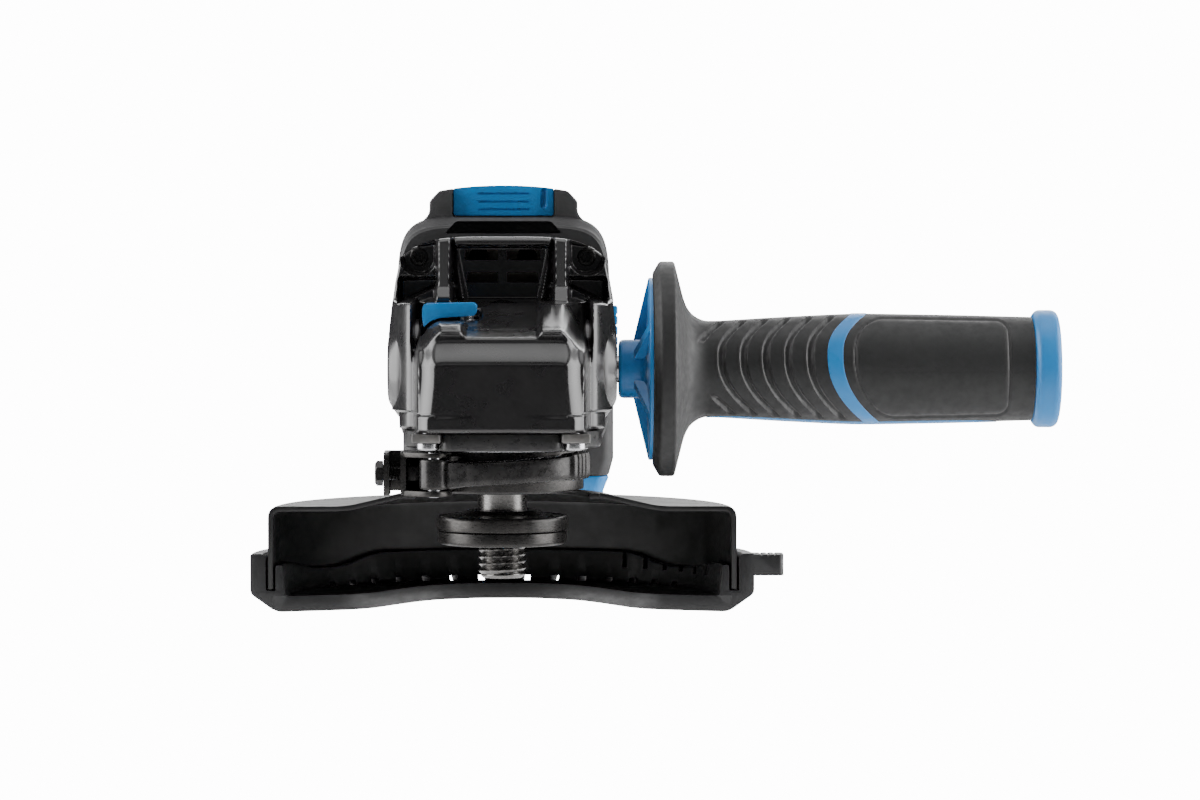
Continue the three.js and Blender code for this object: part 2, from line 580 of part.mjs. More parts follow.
// ---- clip-on cover for cutting discs ----
const SLOTS_PER_SIDE = 7;
function clipOnCover() {
  const profile = [[0, FLOOR], [65, FLOOR], [COVER_R, -4.7], [COVER_R, COVER_TOP], [69.2, COVER_TOP],
    [68.2, 5.6], [68.2, -3.9], [65.3, -3.9], [65.3, 3.6], [63.4, 3.6], [62.6, -5.6], [0, -5.6]];
  const bowl = turned('z', profile, [0, 0, 0], 48);
  const front = box(-90, 90, -90, 0, -20, 20);
  const mouthHalf = [[0, -5], [66, -5], [65, 0], [40, 10], [27, 34], [21, 42], [10, 49], [0, 51]];
  const mouth = prism('z', mirrored(mouthHalf), -15, -5);
  const slots = [];
  for (let i = 0; i < SLOTS_PER_SIDE; i += 1) {
    const angle = 6 + 8 * i;
    for (const turn of [angle, -angle]) {
      slots.push(box(-1.3, 1.3, 58, 76, -5.3, -4.3).rotate([0, 0, turn]));
    }
  }
  const tab = box(71, 81.1, 0.2, 9, 0.4, 6.5);
  return cut(join(bowl, tab), front, mouth, ...slots);
}
add('clip_on_cover', coverGrey, clipOnCover());

// ---- side handle ----
const onHandle = [0, HANDLE_Y, HANDLE_Z];
add('handle_stud', steel, bar('x', 4, 24, 62, onHandle, 20));
add('handle_core', blue, turned('x', [[0, 64], [4.3, 64], [4.3, 33.5], [8.5, 33.5], [8.5, 38], [26.4, 42.2],
  [26.4, 43.2], [9, 43.2], [9, 152.9], [0, 152.9]], onHandle, 24));
add('handle_grip', softBlack, turned('x', [[9.3, 43.5], [28.5, 43.5], [31.1, 45.5], [31.1, 49.6], [18, 52.9],
  [14.8, 56.3], [13.7, 59.8], [14, 62], [15.9, 98.7], [16, 106], [15, 152.9], [9.3, 152.9],
  [9.3, 43.5]], onHandle, 28));
add('handle_end_ring', blue, turned('x', [[0, 153.2], [16, 153.2], [17, 154.2], [17, 159.4], [16, 160.5],
  [0, 160.5]], onHandle, 28));

// ---- battery pack ----
const PACK_WIDTH = 35.3; // half the pack's width
const packHalf = [[PACK_WIDTH, 217], [PACK_WIDTH, 258], [31, PACK_REAR], [0, PACK_REAR]];
function batteryUpper() {
  const slotted = prism('z', mirrored([[0, 221.4], [26.4, 221.4], [26.4, 216.6], [22.4, 216.6], [22.4, 213.4],
    [33, 213.4], ...packHalf]), 30, PACK_TOP);
  const plain = prism('z', mirrored([[0, 213.4], [33, 213.4], ...packHalf]), 17.2, 30);
  const cells = box(-29.6, 29.6, 224, 262.4, 10, PACK_TOP - 2.6);
  const contacts = box(-13.5, 13.5, 220, 225, 42, 76);
  const sides = [-1, 1].map((s) => box(s > 0 ? 31 : -37, s > 0 ? 37 : -31, 232, 248, 56, 74));
  const gauge = box(-6, 6, 260, 267, 70, 76);
  const lowCorner = [[36, 23], [35.3, 23], [33.9, 17], [33.9, 16], [36, 16]];
  const topCorner = [[36, 76], [35.3, 76], [33, 89], [30.8, PACK_TOP], [30.8, 99], [36, 99]];
  const corners = [-1, 1].flatMap((s) => [lowCorner, topCorner]
    .map((corner) => prism('y', corner.map(([x, z]) => [s * x, z]), 200, 270)));
  return cut(join(slotted, plain), cells, contacts, ...sides, gauge, ...corners);
}
add('battery_case_upper', mattGrey, batteryUpper());

// outline of the pack's lower half at one height; it draws in at both ends as it narrows
function packRing(z, width) {
  const drawn = (PACK_WIDTH - width) * 0.6;
  const front = 214 + drawn;
  const rear = PACK_REAR - drawn;
  return mirrored([[0, front], [width - 3, front], [width, front + 3], [width, rear - 5], [width - 4, rear],
    [0, rear]]).map(([x, y]) => [x, y, z]);
}
add('battery_case_lower', blue, cut(
  loft([packRing(FLOOR, 28), packRing(-7.5, 30), packRing(4, 31), packRing(12, 32), packRing(16.9, 33.9)]),
  box(-29.4, 29.4, 224, 262.4, 1.6, 20),
  box(-26, 26, 222, 256, -6, 5),
));

// ten round cells in two columns, held together by a spacer block
const CELL_R = 9.2;
const CELL_PITCH = 18.2;
const CELL_LOW = 11.4;
const cells = [234.2, 252].flatMap((y) => [0, 1, 2, 3, 4].map((i) =>
  bar('x', CELL_R, -29, 29, [0, y, CELL_LOW + CELL_PITCH * i], 12)));
add('cell_pack', cellSleeve, join(box(-29, 29, 234, 252.2, 14, 82), ...cells));
add('battery_terminals', copper, join(box(-12, 12, 221.9, 223.6, 50, 70),
  ...BLADES.map((x) => box(x - 0.4, x + 0.4, 218, 222.5, 52, 68))));
[-1, 1].forEach((s) => {
  const [x0, x1] = s > 0 ? [35, 37] : [-37, -35];
  add(s > 0 ? 'release_button_right' : 'release_button_left', blue, box(x0, x1, 232.4, 247.6, 56.4, 73.6));
});
add('gauge_button', softBlack, box(-5.6, 5.6, 263.4, 265.7, 70.4, 75.6));

export default group;
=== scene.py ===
"""Looks of the cordless angle grinder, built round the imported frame.

All working sizes are millimetres in the frame's own axes and become metres when a mesh is made:
origin at the spindle's free end, +Z up, +X towards the side handle, +Y towards the battery.
"""

import bmesh
import bpy
import numpy as np
from mathutils import Matrix, Vector


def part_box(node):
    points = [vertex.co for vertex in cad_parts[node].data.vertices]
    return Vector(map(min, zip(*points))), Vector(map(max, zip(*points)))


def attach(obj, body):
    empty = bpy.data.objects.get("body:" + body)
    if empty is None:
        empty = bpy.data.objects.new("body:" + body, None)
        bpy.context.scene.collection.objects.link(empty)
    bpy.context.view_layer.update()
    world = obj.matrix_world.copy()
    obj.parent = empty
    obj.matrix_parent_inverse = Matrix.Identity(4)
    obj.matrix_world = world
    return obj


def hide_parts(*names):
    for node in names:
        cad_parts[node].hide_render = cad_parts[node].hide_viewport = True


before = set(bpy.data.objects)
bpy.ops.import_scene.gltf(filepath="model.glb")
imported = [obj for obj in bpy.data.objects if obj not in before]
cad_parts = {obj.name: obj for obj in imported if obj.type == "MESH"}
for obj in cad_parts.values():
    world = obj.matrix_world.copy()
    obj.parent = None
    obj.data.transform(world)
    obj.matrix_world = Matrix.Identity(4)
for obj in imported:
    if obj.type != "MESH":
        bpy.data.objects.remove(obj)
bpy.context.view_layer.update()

MM = 0.001
Y, Z = 1, 2               # places of an axis in a point


def box_mm(node):
    """Lower and upper corner of a frame node's box, in mm."""
    return [np.array(corner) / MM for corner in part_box(node)]


def middle(node, axis):
    """Middle of a frame node's box along one axis, in mm."""
    low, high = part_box(node)
    return (low[axis] + high[axis]) / 2 / MM


FLOOR_Z = box_mm("clip_on_cover")[0][Z]
MOTOR_Z = middle("rotor_core", Z)
HANDLE_Y, HANDLE_Z = middle("handle_stud", Y), middle("handle_stud", Z)
HANDLE_AT = (HANDLE_Y, HANDLE_Z)
CASE_REAR = box_mm("gear_case")[1][Y]
CASE_BOTTOM = box_mm("gear_case")[0][Z]
CASE_TOP = box_mm("gear_case")[1][Z]
HOUSING_FRONT = box_mm("motor_housing")[0][Y]
HOUSING_REAR = box_mm("motor_housing")[1][Y]
BLOCK_FRONT = box_mm("slide_switch")[0][Y] - 2.4
SMOOTH_ANGLE = np.radians(32)


# ---------------------------------------------------------------- shapes
def ease(low, high, x):
    """0 below low, 1 above high, with a smooth S between them."""
    t = np.clip((x - low) / (high - low), 0.0, 1.0)
    return t * t * (3.0 - 2.0 * t)


def blend(a, b, share):
    """a where share is 0, b where it is 1, a straight mix between."""
    return a + (b - a) * share


def fillet(points, radius, steps=5, closed=True):
    """A polyline whose corners are replaced by quadratic bends that start radius away from each corner."""
    pts = [np.array(p, float) for p in points]
    out = []
    for i, corner in enumerate(pts):
        size = radius[i] if isinstance(radius, (list, tuple)) else radius
        if size <= 0 or (not closed and i in (0, len(pts) - 1)):
            out.append(corner)
            continue
        before, after = pts[i - 1], pts[(i + 1) % len(pts)]
        start = corner + (before - corner) * min(size / np.linalg.norm(before - corner), 0.49)
        end = corner + (after - corner) * min(size / np.linalg.norm(after - corner), 0.49)
        for t in np.linspace(0, 1, steps):
            out.append((1 - t) ** 2 * start + 2 * t * (1 - t) * corner + t * t * end)
    return np.array(out)


def mesh_piece(name, verts, faces, sharp=SMOOTH_ANGLE, closed=True):
    """Object at the origin from points in mm; closed meshes get merged doubles and outward faces."""
    mesh = bpy.data.meshes.new(name)
    mesh.from_pydata((np.asarray(verts, float) * MM).tolist(), [], faces)
    work = bmesh.new()
    work.from_mesh(mesh)
    bmesh.ops.remove_doubles(work, verts=work.verts, dist=1e-6)
    bmesh.ops.dissolve_degenerate(work, edges=work.edges, dist=1e-7)
    if closed:
        bmesh.ops.recalc_face_normals(work, faces=work.faces)
    work.to_mesh(mesh)
    work.free()
    smooth(mesh, sharp)
    piece = bpy.data.objects.new(name, mesh)
    bpy.context.scene.collection.objects.link(piece)
    return piece


def smooth(mesh, sharp):
    """Smooth shading, kept hard over edges that bend more than the angle sharp."""
    mesh.polygons.foreach_set("use_smooth", np.ones(len(mesh.polygons), bool))
    mesh.set_sharp_from_angle(angle=sharp)
    mesh.update()


def grid_faces(rows, cols, wrap_rows=False, wrap_cols=False, first=0):
    """Quads of a rows x cols grid of points, numbered row by row."""
    r = np.arange(rows if wrap_rows else rows - 1)
    c = np.arange(cols if wrap_cols else cols - 1)
    rr, cc = np.meshgrid(r, c, indexing="ij")
    a = rr * cols + cc
    b = rr * cols + (cc + 1) % cols
    d = ((rr + 1) % rows) * cols + cc
    e = ((rr + 1) % rows) * cols + (cc + 1) % cols
    return (np.stack([a, b, e, d], -1).reshape(-1, 4) + first).tolist()


def skin(name, points, wrap_rows=False, caps=True, **more):
    """Closed tube over a grid of points whose rows are rings; its ends are flat faces."""
    rows, cols = points.shape[:2]
    faces = grid_faces(rows, cols, wrap_rows, True)
    if caps and not wrap_rows:
        faces.append(list(range(cols))[::-1])
        faces.append(list(range((rows - 1) * cols, rows * cols)))
    return mesh_piece(name, points.reshape(-1, 3), faces, **more)


def on_axis(axis, u, v, w):
    """Points from coordinates across (u, v) and along (w) the named axis."""
    if axis == "z":
        return np.stack([u, v, w], -1)
    if axis == "y":
        return np.stack([u, w, v], -1)
    return np.stack([w, u, v], -1)


def turned(name, profile, axis="z", centre=(0, 0), steps=96, closed=False, **more):
    """Profile of (radius, height) turned a full circle about an axis through centre.
    An open profile starts and ends on the axis; a closed one makes a ring."""
    profile = np.asarray(profile, float)
    turn = np.linspace(0, 2 * np.pi, steps, endpoint=False)
    r, h = profile[:, :1], profile[:, 1:]
    u = centre[0] + r * np.cos(turn)
    v = centre[1] + r * np.sin(turn)
    points = on_axis(axis, u, v, h + 0 * turn)
    return skin(name, points, wrap_rows=closed, caps=False, **more)


def prism(name, outline, axis, low, high, edge=0.0, **more):
    """Flat outline pushed along an axis, with a bevel of edge mm round both ends."""
    outline = np.asarray(outline, float)
    n = len(outline)
    ends = [on_axis(axis, outline[:, 0], outline[:, 1], np.full(n, w)) for w in (low, high)]
    faces = grid_faces(2, n, False, True) + [list(range(n))[::-1], list(range(n, 2 * n))]
    piece = mesh_piece(name, np.concatenate(ends), faces, **more)
    if edge:
        soften(piece, edge)
    return piece


def block(name, low, high, edge=0.0, **more):
    """Box between two corners."""
    outline = [(low[0], low[1]), (high[0], low[1]), (high[0], high[1]), (low[0], high[1])]
    return prism(name, outline, "z", low[2], high[2], edge, **more)


def rod(name, axis, radius, low, high, centre=(0, 0), steps=32, **more):
    """Round bar along an axis, from low to high, about centre."""
    turn = np.linspace(0, 2 * np.pi, steps, endpoint=False)
    outline = np.stack([centre[0] + radius * np.cos(turn), centre[1] + radius * np.sin(turn)], -1)
    return prism(name, outline, axis, low, high, **more)


def mirrored(half):
    """A half outline, from the middle plane round to it again, and its mirror image."""
    half = [tuple(p) for p in half]
    return half + [(-x, y) for x, y in half[::-1] if abs(x) > 1e-9]


def settle(piece):
    """Applies the piece's modifiers."""
    seen = piece.evaluated_get(bpy.context.evaluated_depsgraph_get())
    mesh = bpy.data.meshes.new_from_object(seen)
    old = piece.data
    piece.modifiers.clear()
    piece.data = mesh
    bpy.data.meshes.remove(old)
    mesh.name = piece.name
    return piece


def soften(piece, width, segments=3, angle=28):
    """Rounds the edges that bend more than angle degrees."""
    bevel = piece.modifiers.new("edge", "BEVEL")
    bevel.width = width * MM
    bevel.segments = segments
    bevel.limit_method = "ANGLE"
    bevel.angle_limit = np.radians(angle)
    bevel.harden_normals = False
    bpy.context.view_layer.update()
    settle(piece)
    smooth(piece.data, SMOOTH_ANGLE)
    return piece


def combine(piece, others, operation):
    """Boolean of the piece with each of the others in turn; the others are used up."""
    for other in others:
        step = piece.modifiers.new("join", "BOOLEAN")
        step.operation = operation
        step.solver = "MANIFOLD"
        step.object = other
        bpy.context.view_layer.update()
        settle(piece)
        bpy.data.objects.remove(other)
    smooth(piece.data, SMOOTH_ANGLE)
    return piece


def carve(piece, *cutters):
    return combine(piece, cutters, "DIFFERENCE")


def fuse(piece, *others):
    return combine(piece, others, "UNION")


def place(piece, body, slot, material, *replaced):
    """Hands a finished piece to its body, its finish and the plain nodes it stands for."""
    piece.data.materials.clear()
    piece.data.materials.append(material)
    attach(piece, body)
    if replaced:
        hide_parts(*replaced)
    return piece


# ---------------------------------------------------------------- finishes
class Finish:
    """A procedural material: one shader, with patterns in the object's own coordinates."""

    def __init__(self, name, colour, roughness, metallic=0.0):
        self.material = bpy.data.materials.new(name)
        self.material.use_nodes = True
        self.tree = self.material.node_tree
        self.shader = self.tree.nodes["Principled BSDF"]
        self.shader.inputs["Base Color"].default_value = (*colour, 1.0)
        self.shader.inputs["Roughness"].default_value = roughness
        self.shader.inputs["Metallic"].default_value = metallic
        self.colour = colour
        self.roughness = roughness
        self.place = self.tree.nodes.new("ShaderNodeTexCoord").outputs["Object"]
        self.normal = None

    def add(self, kind, **values):
        node = self.tree.nodes.new(kind)
        for key, value in values.items():
            setattr(node, key, value)
        return node

    def wire(self, source, target):
        self.tree.links.new(source, target)

    def stretched(self, scale):
        mapping = self.add("ShaderNodeMapping")
        mapping.inputs["Scale"].default_value = scale
        self.wire(self.place, mapping.inputs["Vector"])
        return mapping.outputs["Vector"]

    def noise(self, size_mm, detail=3.0, stretch=None, distortion=0.0):
        node = self.add("ShaderNodeTexNoise")
        node.inputs["Scale"].default_value = 1.0 / (size_mm * MM)
        node.inputs["Detail"].default_value = detail
        node.inputs["Distortion"].default_value = distortion
        self.wire(self.stretched(stretch) if stretch else self.place, node.inputs["Vector"])
        return node.outputs["Fac"]

    def spread(self, value, low, high, start=0.35, end=0.65):
        node = self.add("ShaderNodeMapRange")
        node.inputs["From Min"].default_value = start
        node.inputs["From Max"].default_value = end
        node.inputs["To Min"].default_value = low
        node.inputs["To Max"].default_value = high
        self.wire(value, node.inputs["Value"])
        return node.outputs["Result"]

    def vary_roughness(self, size_mm, amount, **more):
        value = self.noise(size_mm, **more)
        rough = self.spread(value, self.roughness - amount, self.roughness + amount)
        self.wire(rough, self.shader.inputs["Roughness"])
        return self

    def vary_colour(self, size_mm, other, detail=3.0, start=0.4, end=0.7, stretch=None):
        mix = self.add("ShaderNodeMix", data_type="RGBA")
        mix.inputs["A"].default_value = (*self.colour, 1.0)
        mix.inputs["B"].default_value = (*other, 1.0)
        share = self.spread(self.noise(size_mm, detail, stretch), 0.0, 1.0, start, end)
        self.wire(share, mix.inputs["Factor"])
        self.wire(mix.outputs["Result"], self.shader.inputs["Base Color"])
        return self

    def bump(self, height, depth_mm, strength=1.0):
        node = self.add("ShaderNodeBump")
        node.inputs["Distance"].default_value = depth_mm * MM
        node.inputs["Strength"].default_value = strength
        self.wire(height, node.inputs["Height"])
        if self.normal:
            self.wire(self.normal, node.inputs["Normal"])
        self.normal = node.outputs["Normal"]
        self.wire(self.normal, self.shader.inputs["Normal"])
        return self

    def grain(self, size_mm, depth_mm, strength=1.0, **more):
        return self.bump(self.noise(size_mm, **more), depth_mm, strength)

    def set(self, **sockets):
        for key, value in sockets.items():
            self.shader.inputs[key.replace("_", " ")].default_value = value
        return self


def gloss_paint():
    paint = Finish("case_gloss_black_paint", (0.008, 0.0075, 0.008), 0.30)
    paint.set(Coat_Weight=0.35, Coat_Roughness=0.14)
    paint.vary_roughness(9.0, 0.04)
    paint.grain(2.4, 0.006, 0.25, detail=1.0)
    paint.grain(0.3, 0.003, 0.3)
    return paint.material


def housing_nylon():
    nylon = Finish("housing_dark_grey_nylon", (0.03, 0.03, 0.031), 0.58)
    nylon.vary_colour(14.0, (0.036, 0.036, 0.037))
    nylon.vary_roughness(3.0, 0.06)
    nylon.grain(0.28, 0.03, 0.55, detail=4.0)
    return nylon.material


def black_nylon():
    nylon = Finish("black_nylon", (0.012, 0.012, 0.0125), 0.5)
    nylon.vary_colour(10.0, (0.016, 0.016, 0.017))
    nylon.vary_roughness(4.0, 0.07)
    nylon.grain(0.3, 0.025, 0.5, detail=4.0)
    return nylon.material


def cover_nylon():
    nylon = Finish("cover_black_nylon", (0.017, 0.017, 0.018), 0.46)
    nylon.vary_colour(18.0, (0.022, 0.022, 0.023))
    nylon.vary_roughness(5.0, 0.08, stretch=(1.0, 1.0, 3.0))
    nylon.grain(0.35, 0.03, 0.5, detail=4.0)
    return nylon.material


def grip_rubber():
    rubber = Finish("grip_soft_rubber", (0.0105, 0.0106, 0.011), 0.6)
    rubber.vary_colour(12.0, (0.0135, 0.0136, 0.014))
    rubber.vary_roughness(2.5, 0.06)
    rubber.grain(0.33, 0.03, 0.5, detail=4.0)
    return rubber.material


def blue_nylon():
    blue = Finish("blue_nylon", (0.010, 0.190, 0.50), 0.42)
    blue.vary_colour(16.0, (0.012, 0.210, 0.54))
    blue.vary_roughness(3.0, 0.06)
    blue.grain(0.4, 0.02, 0.45, detail=3.0)
    return blue.material


def powder_coat():
    coat = Finish("guard_black_powder_coat", (0.008, 0.008, 0.0083), 0.38)
    coat.vary_colour(20.0, (0.012, 0.012, 0.0125))
    coat.vary_roughness(6.0, 0.07)
    coat.grain(0.9, 0.03, 0.45, detail=2.0)
    coat.grain(0.25, 0.012, 0.4)
    return coat.material


def dark_steel():
    steel = Finish("blackened_steel", (0.035, 0.034, 0.033), 0.34, 0.85)
    steel.vary_colour(5.0, (0.055, 0.052, 0.05))
    steel.vary_roughness(1.6, 0.09, stretch=(1.0, 1.0, 6.0))
    steel.grain(0.6, 0.004, 0.4, stretch=(1.0, 1.0, 14.0))
    return steel.material


def bright_steel():
    steel = Finish("ground_steel", (0.52, 0.52, 0.53), 0.26, 1.0)
    steel.vary_colour(7.0, (0.44, 0.44, 0.45))
    steel.vary_roughness(1.4, 0.08, stretch=(1.0, 1.0, 8.0))
    steel.grain(0.5, 0.006, 0.5, stretch=(1.0, 1.0, 16.0))
    return steel.material


def cast_alloy():
    alloy = Finish("cast_alloy", (0.20, 0.195, 0.19), 0.42, 0.9)
    alloy.vary_colour(6.0, (0.28, 0.27, 0.26))
    alloy.vary_roughness(2.0, 0.1)
    alloy.grain(0.5, 0.03, 0.5, detail=4.0)
    return alloy.material


def pale_nylon():
    nylon = Finish("pale_nylon", (0.50, 0.46, 0.42), 0.6)
    nylon.vary_colour(6.0, (0.42, 0.38, 0.35))
    nylon.grain(0.4, 0.03, 0.5)
    return nylon.material


def laminated_steel():
    steel = Finish("laminated_steel", (0.22, 0.22, 0.23), 0.4, 0.9)
    steel.vary_colour(4.0, (0.16, 0.16, 0.165))
    steel.grain(0.5, 0.05, 0.7, stretch=(0.02, 1.0, 0.02), detail=0.0)
    return steel.material


def copper_wire():
    copper = Finish("enamelled_copper", (0.55, 0.22, 0.07), 0.3, 0.9)
    copper.vary_colour(1.5, (0.42, 0.15, 0.05))
    copper.grain(0.7, 0.15, 0.8, stretch=(1.0, 0.3, 1.0))
    return copper.material


def circuit_board():
    board = Finish("circuit_board", (0.015, 0.12, 0.05), 0.35)
    board.vary_colour(2.0, (0.03, 0.2, 0.09))
    board.grain(0.8, 0.03, 0.4)
    return board.material


def cell_sleeve():
    sleeve = Finish("cell_sleeve", (0.06, 0.22, 0.42), 0.3)
    sleeve.vary_colour(5.0, (0.05, 0.18, 0.36))
    sleeve.vary_roughness(3.0, 0.08)
    sleeve.grain(2.0, 0.03, 0.4)
    return sleeve.material


def black_screw():
    steel = Finish("black_oxide_screw", (0.02, 0.019, 0.019), 0.32, 0.6)
    steel.vary_roughness(1.0, 0.08)
    steel.grain(0.3, 0.01, 0.4)
    return steel.material


def dark_alloy():
    alloy = Finish("painted_cover_casting", (0.03, 0.03, 0.031), 0.35, 0.4)
    alloy.vary_colour(5.0, (0.045, 0.044, 0.043))
    alloy.vary_roughness(2.0, 0.08)
    alloy.grain(0.6, 0.03, 0.5, detail=4.0)
    return alloy.material


def lever_black():
    steel = Finish("lever_black_zinc", (0.03, 0.029, 0.029), 0.3, 0.7)
    steel.vary_colour(4.0, (0.05, 0.048, 0.047))
    steel.vary_roughness(1.6, 0.08)
    steel.grain(0.8, 0.02, 0.4)
    return steel.material


def spindle_steel():
    steel = Finish("oiled_spindle_steel", (0.20, 0.195, 0.19), 0.3, 1.0)
    steel.vary_colour(5.0, (0.14, 0.135, 0.13))
    steel.vary_roughness(1.4, 0.08, stretch=(1.0, 1.0, 8.0))
    steel.grain(0.5, 0.006, 0.5, stretch=(1.0, 1.0, 16.0))
    return steel.material


PAINT = gloss_paint()
HOUSING = housing_nylon()
BLACK = black_nylon()
COVER = cover_nylon()
RUBBER = grip_rubber()
BLUE = blue_nylon()
POWDER = powder_coat()
DARK_STEEL = dark_steel()
STEEL = bright_steel()
ALLOY = cast_alloy()
PALE = pale_nylon()
LAMINATED = laminated_steel()
COPPER = copper_wire()
BOARD = circuit_board()
SLEEVE = cell_sleeve()
BLACK_SCREW = black_screw()
ALLOY_DARK = dark_alloy()
LEVER_BLACK = lever_black()
SPINDLE_STEEL = spindle_steel()


# ---------------------------------------------------------------- camera, floor and light
def aim(thing, spot, target):
    """Puts a camera or lamp at spot, looking at target."""
    thing.location = Vector(spot) * MM
    thing.rotation_euler = (Vector(target) - Vector(spot)).to_track_quat("-Z", "Y").to_euler()


CAMERA_AT, CAMERA_TARGET = (12, -1300, 103.4), (28.1, 0, 51.1)
LENS_MM, SENSOR_MM = 135.7, 36
WHITE_STRENGTH = 14.0     # the backdrop and the floor as the camera alone sees them
SOFTBOX_TARGET = (20, 40, 50)
SOFTBOXES = (             # name, place, size, power
    ("left_softbox", (-950, 50, 300), (1200, 1100), 26.0),
    ("right_softbox", (1000, 50, 300), (1200, 1100), 26.0),
    ("top_softbox", (30, 150, 1150), (1300, 1100), 9.0),
    ("front_softbox", (-100, -1400, 1250), (1100, 400), 1.5),
    ("rear_softbox", (200, 1300, 700), (1200, 700), 12.0),
)
FLOOR_DROP, FLOOR_HALF = 150.0, 6000


def studio():
    """Camera, plain white surroundings, five softboxes and a floor far enough down for every pose."""
    camera = bpy.data.objects.new("camera", bpy.data.cameras.new("camera"))
    camera.data.sensor_width = SENSOR_MM
    camera.data.lens = LENS_MM
    camera.data.clip_end = 20
    bpy.context.scene.collection.objects.link(camera)
    aim(camera, CAMERA_AT, CAMERA_TARGET)
    bpy.context.scene.camera = camera

    world = bpy.data.worlds.new("studio")
    bpy.context.scene.world = world
    world.use_nodes = True
    nodes, links = world.node_tree.nodes, world.node_tree.links
    surround = nodes["Background"]
    surround.inputs["Color"].default_value = (0.93, 0.96, 1.0, 1.0)
    surround.inputs["Strength"].default_value = 0.05
    backdrop = nodes.new("ShaderNodeBackground")
    backdrop.inputs["Color"].default_value = (1.0, 1.0, 1.0, 1.0)
    backdrop.inputs["Strength"].default_value = WHITE_STRENGTH
    seen = nodes.new("ShaderNodeLightPath")
    mix = nodes.new("ShaderNodeMixShader")
    links.new(seen.outputs["Is Camera Ray"], mix.inputs[0])
    links.new(surround.outputs[0], mix.inputs[1])
    links.new(backdrop.outputs[0], mix.inputs[2])
    links.new(mix.outputs[0], nodes["World Output"].inputs["Surface"])

    for name, spot, size, power in SOFTBOXES:
        lamp = bpy.data.lights.new(name, "AREA")
        lamp.shape = "RECTANGLE"
        lamp.size, lamp.size_y = size[0] * MM, size[1] * MM
        lamp.energy = power
        holder = bpy.data.objects.new(name, lamp)
        bpy.context.scene.collection.objects.link(holder)
        aim(holder, spot, SOFTBOX_TARGET)

    low = FLOOR_Z - FLOOR_DROP
    corners = [(x * FLOOR_HALF, y * FLOOR_HALF, low) for x, y in ((-1, -1), (1, -1), (1, 1), (-1, 1))]
    floor = mesh_piece("floor", corners, [(0, 1, 2, 3)], closed=False)
    pale = Finish("pale_floor", (0.92, 0.92, 0.92), 0.9)
    pale.vary_roughness(400.0, 0.05)
    glow = pale.add("ShaderNodeEmission")
    glow.inputs["Strength"].default_value = WHITE_STRENGTH
    ray = pale.add("ShaderNodeLightPath")
    either = pale.add("ShaderNodeMixShader")
    pale.wire(ray.outputs["Is Camera Ray"], either.inputs[0])
    pale.wire(pale.shader.outputs[0], either.inputs[1])
    pale.wire(glow.outputs[0], either.inputs[2])
    pale.wire(either.outputs[0], pale.tree.nodes["Material Output"].inputs["Surface"])
    floor.data.materials.append(pale.material)


studio()


# ---------------------------------------------------------------- gear case
# (height, half width) of the case seen from the front
CASE_WIDTH = [(43.3, 29.4), (47.8, 29.6), (48.4, 31.9), (62, 33.1), (72, 33.1), (80, 32.1), (86, 31.2),
              (92, 29.7)]
RIM_DROP, RIM_POWER, RIM_HALF = 6.0, 4.5, 29.7     # fall of the rim from the middle to its corners
NOSE_FRONT, NOSE_LIMIT = -39.0, -38.95
FACE_HALF, CHAMFER = 17.4, 5.2
BEVEL_Z, NOSE_TOP_Z = 63.2, 69.3
LEDGE_Z = 79.0
WINDOW_TOP = 95.4
PILLAR_IN, PILLAR_OUT, PILLAR_FOOT = 14.8, 18.9, 83.4
HOLLOW_TOP = 86.3
LIP_TOP = 47.4
SCREW_X, SCREW_Z = 24.4, 92.0


def case_half_width(z):
    """Half width of the case at height z, straight between the listed heights."""
    heights, widths = np.array(CASE_WIDTH).T
    return np.interp(z, heights, widths)


def window_mask(ax, z, x0, x1, z0, z1, soft=0.45):
    """1 inside the rectangle x0..x1, z0..z1 of (|x|, z), fading over soft mm at its edges."""
    inside = ease(x0 - soft, x0 + soft, ax) * (1 - ease(x1 - soft, x1 + soft, ax))
    return inside * ease(z0 - soft, z0 + soft, z) * (1 - ease(z1 - soft, z1 + soft, z))


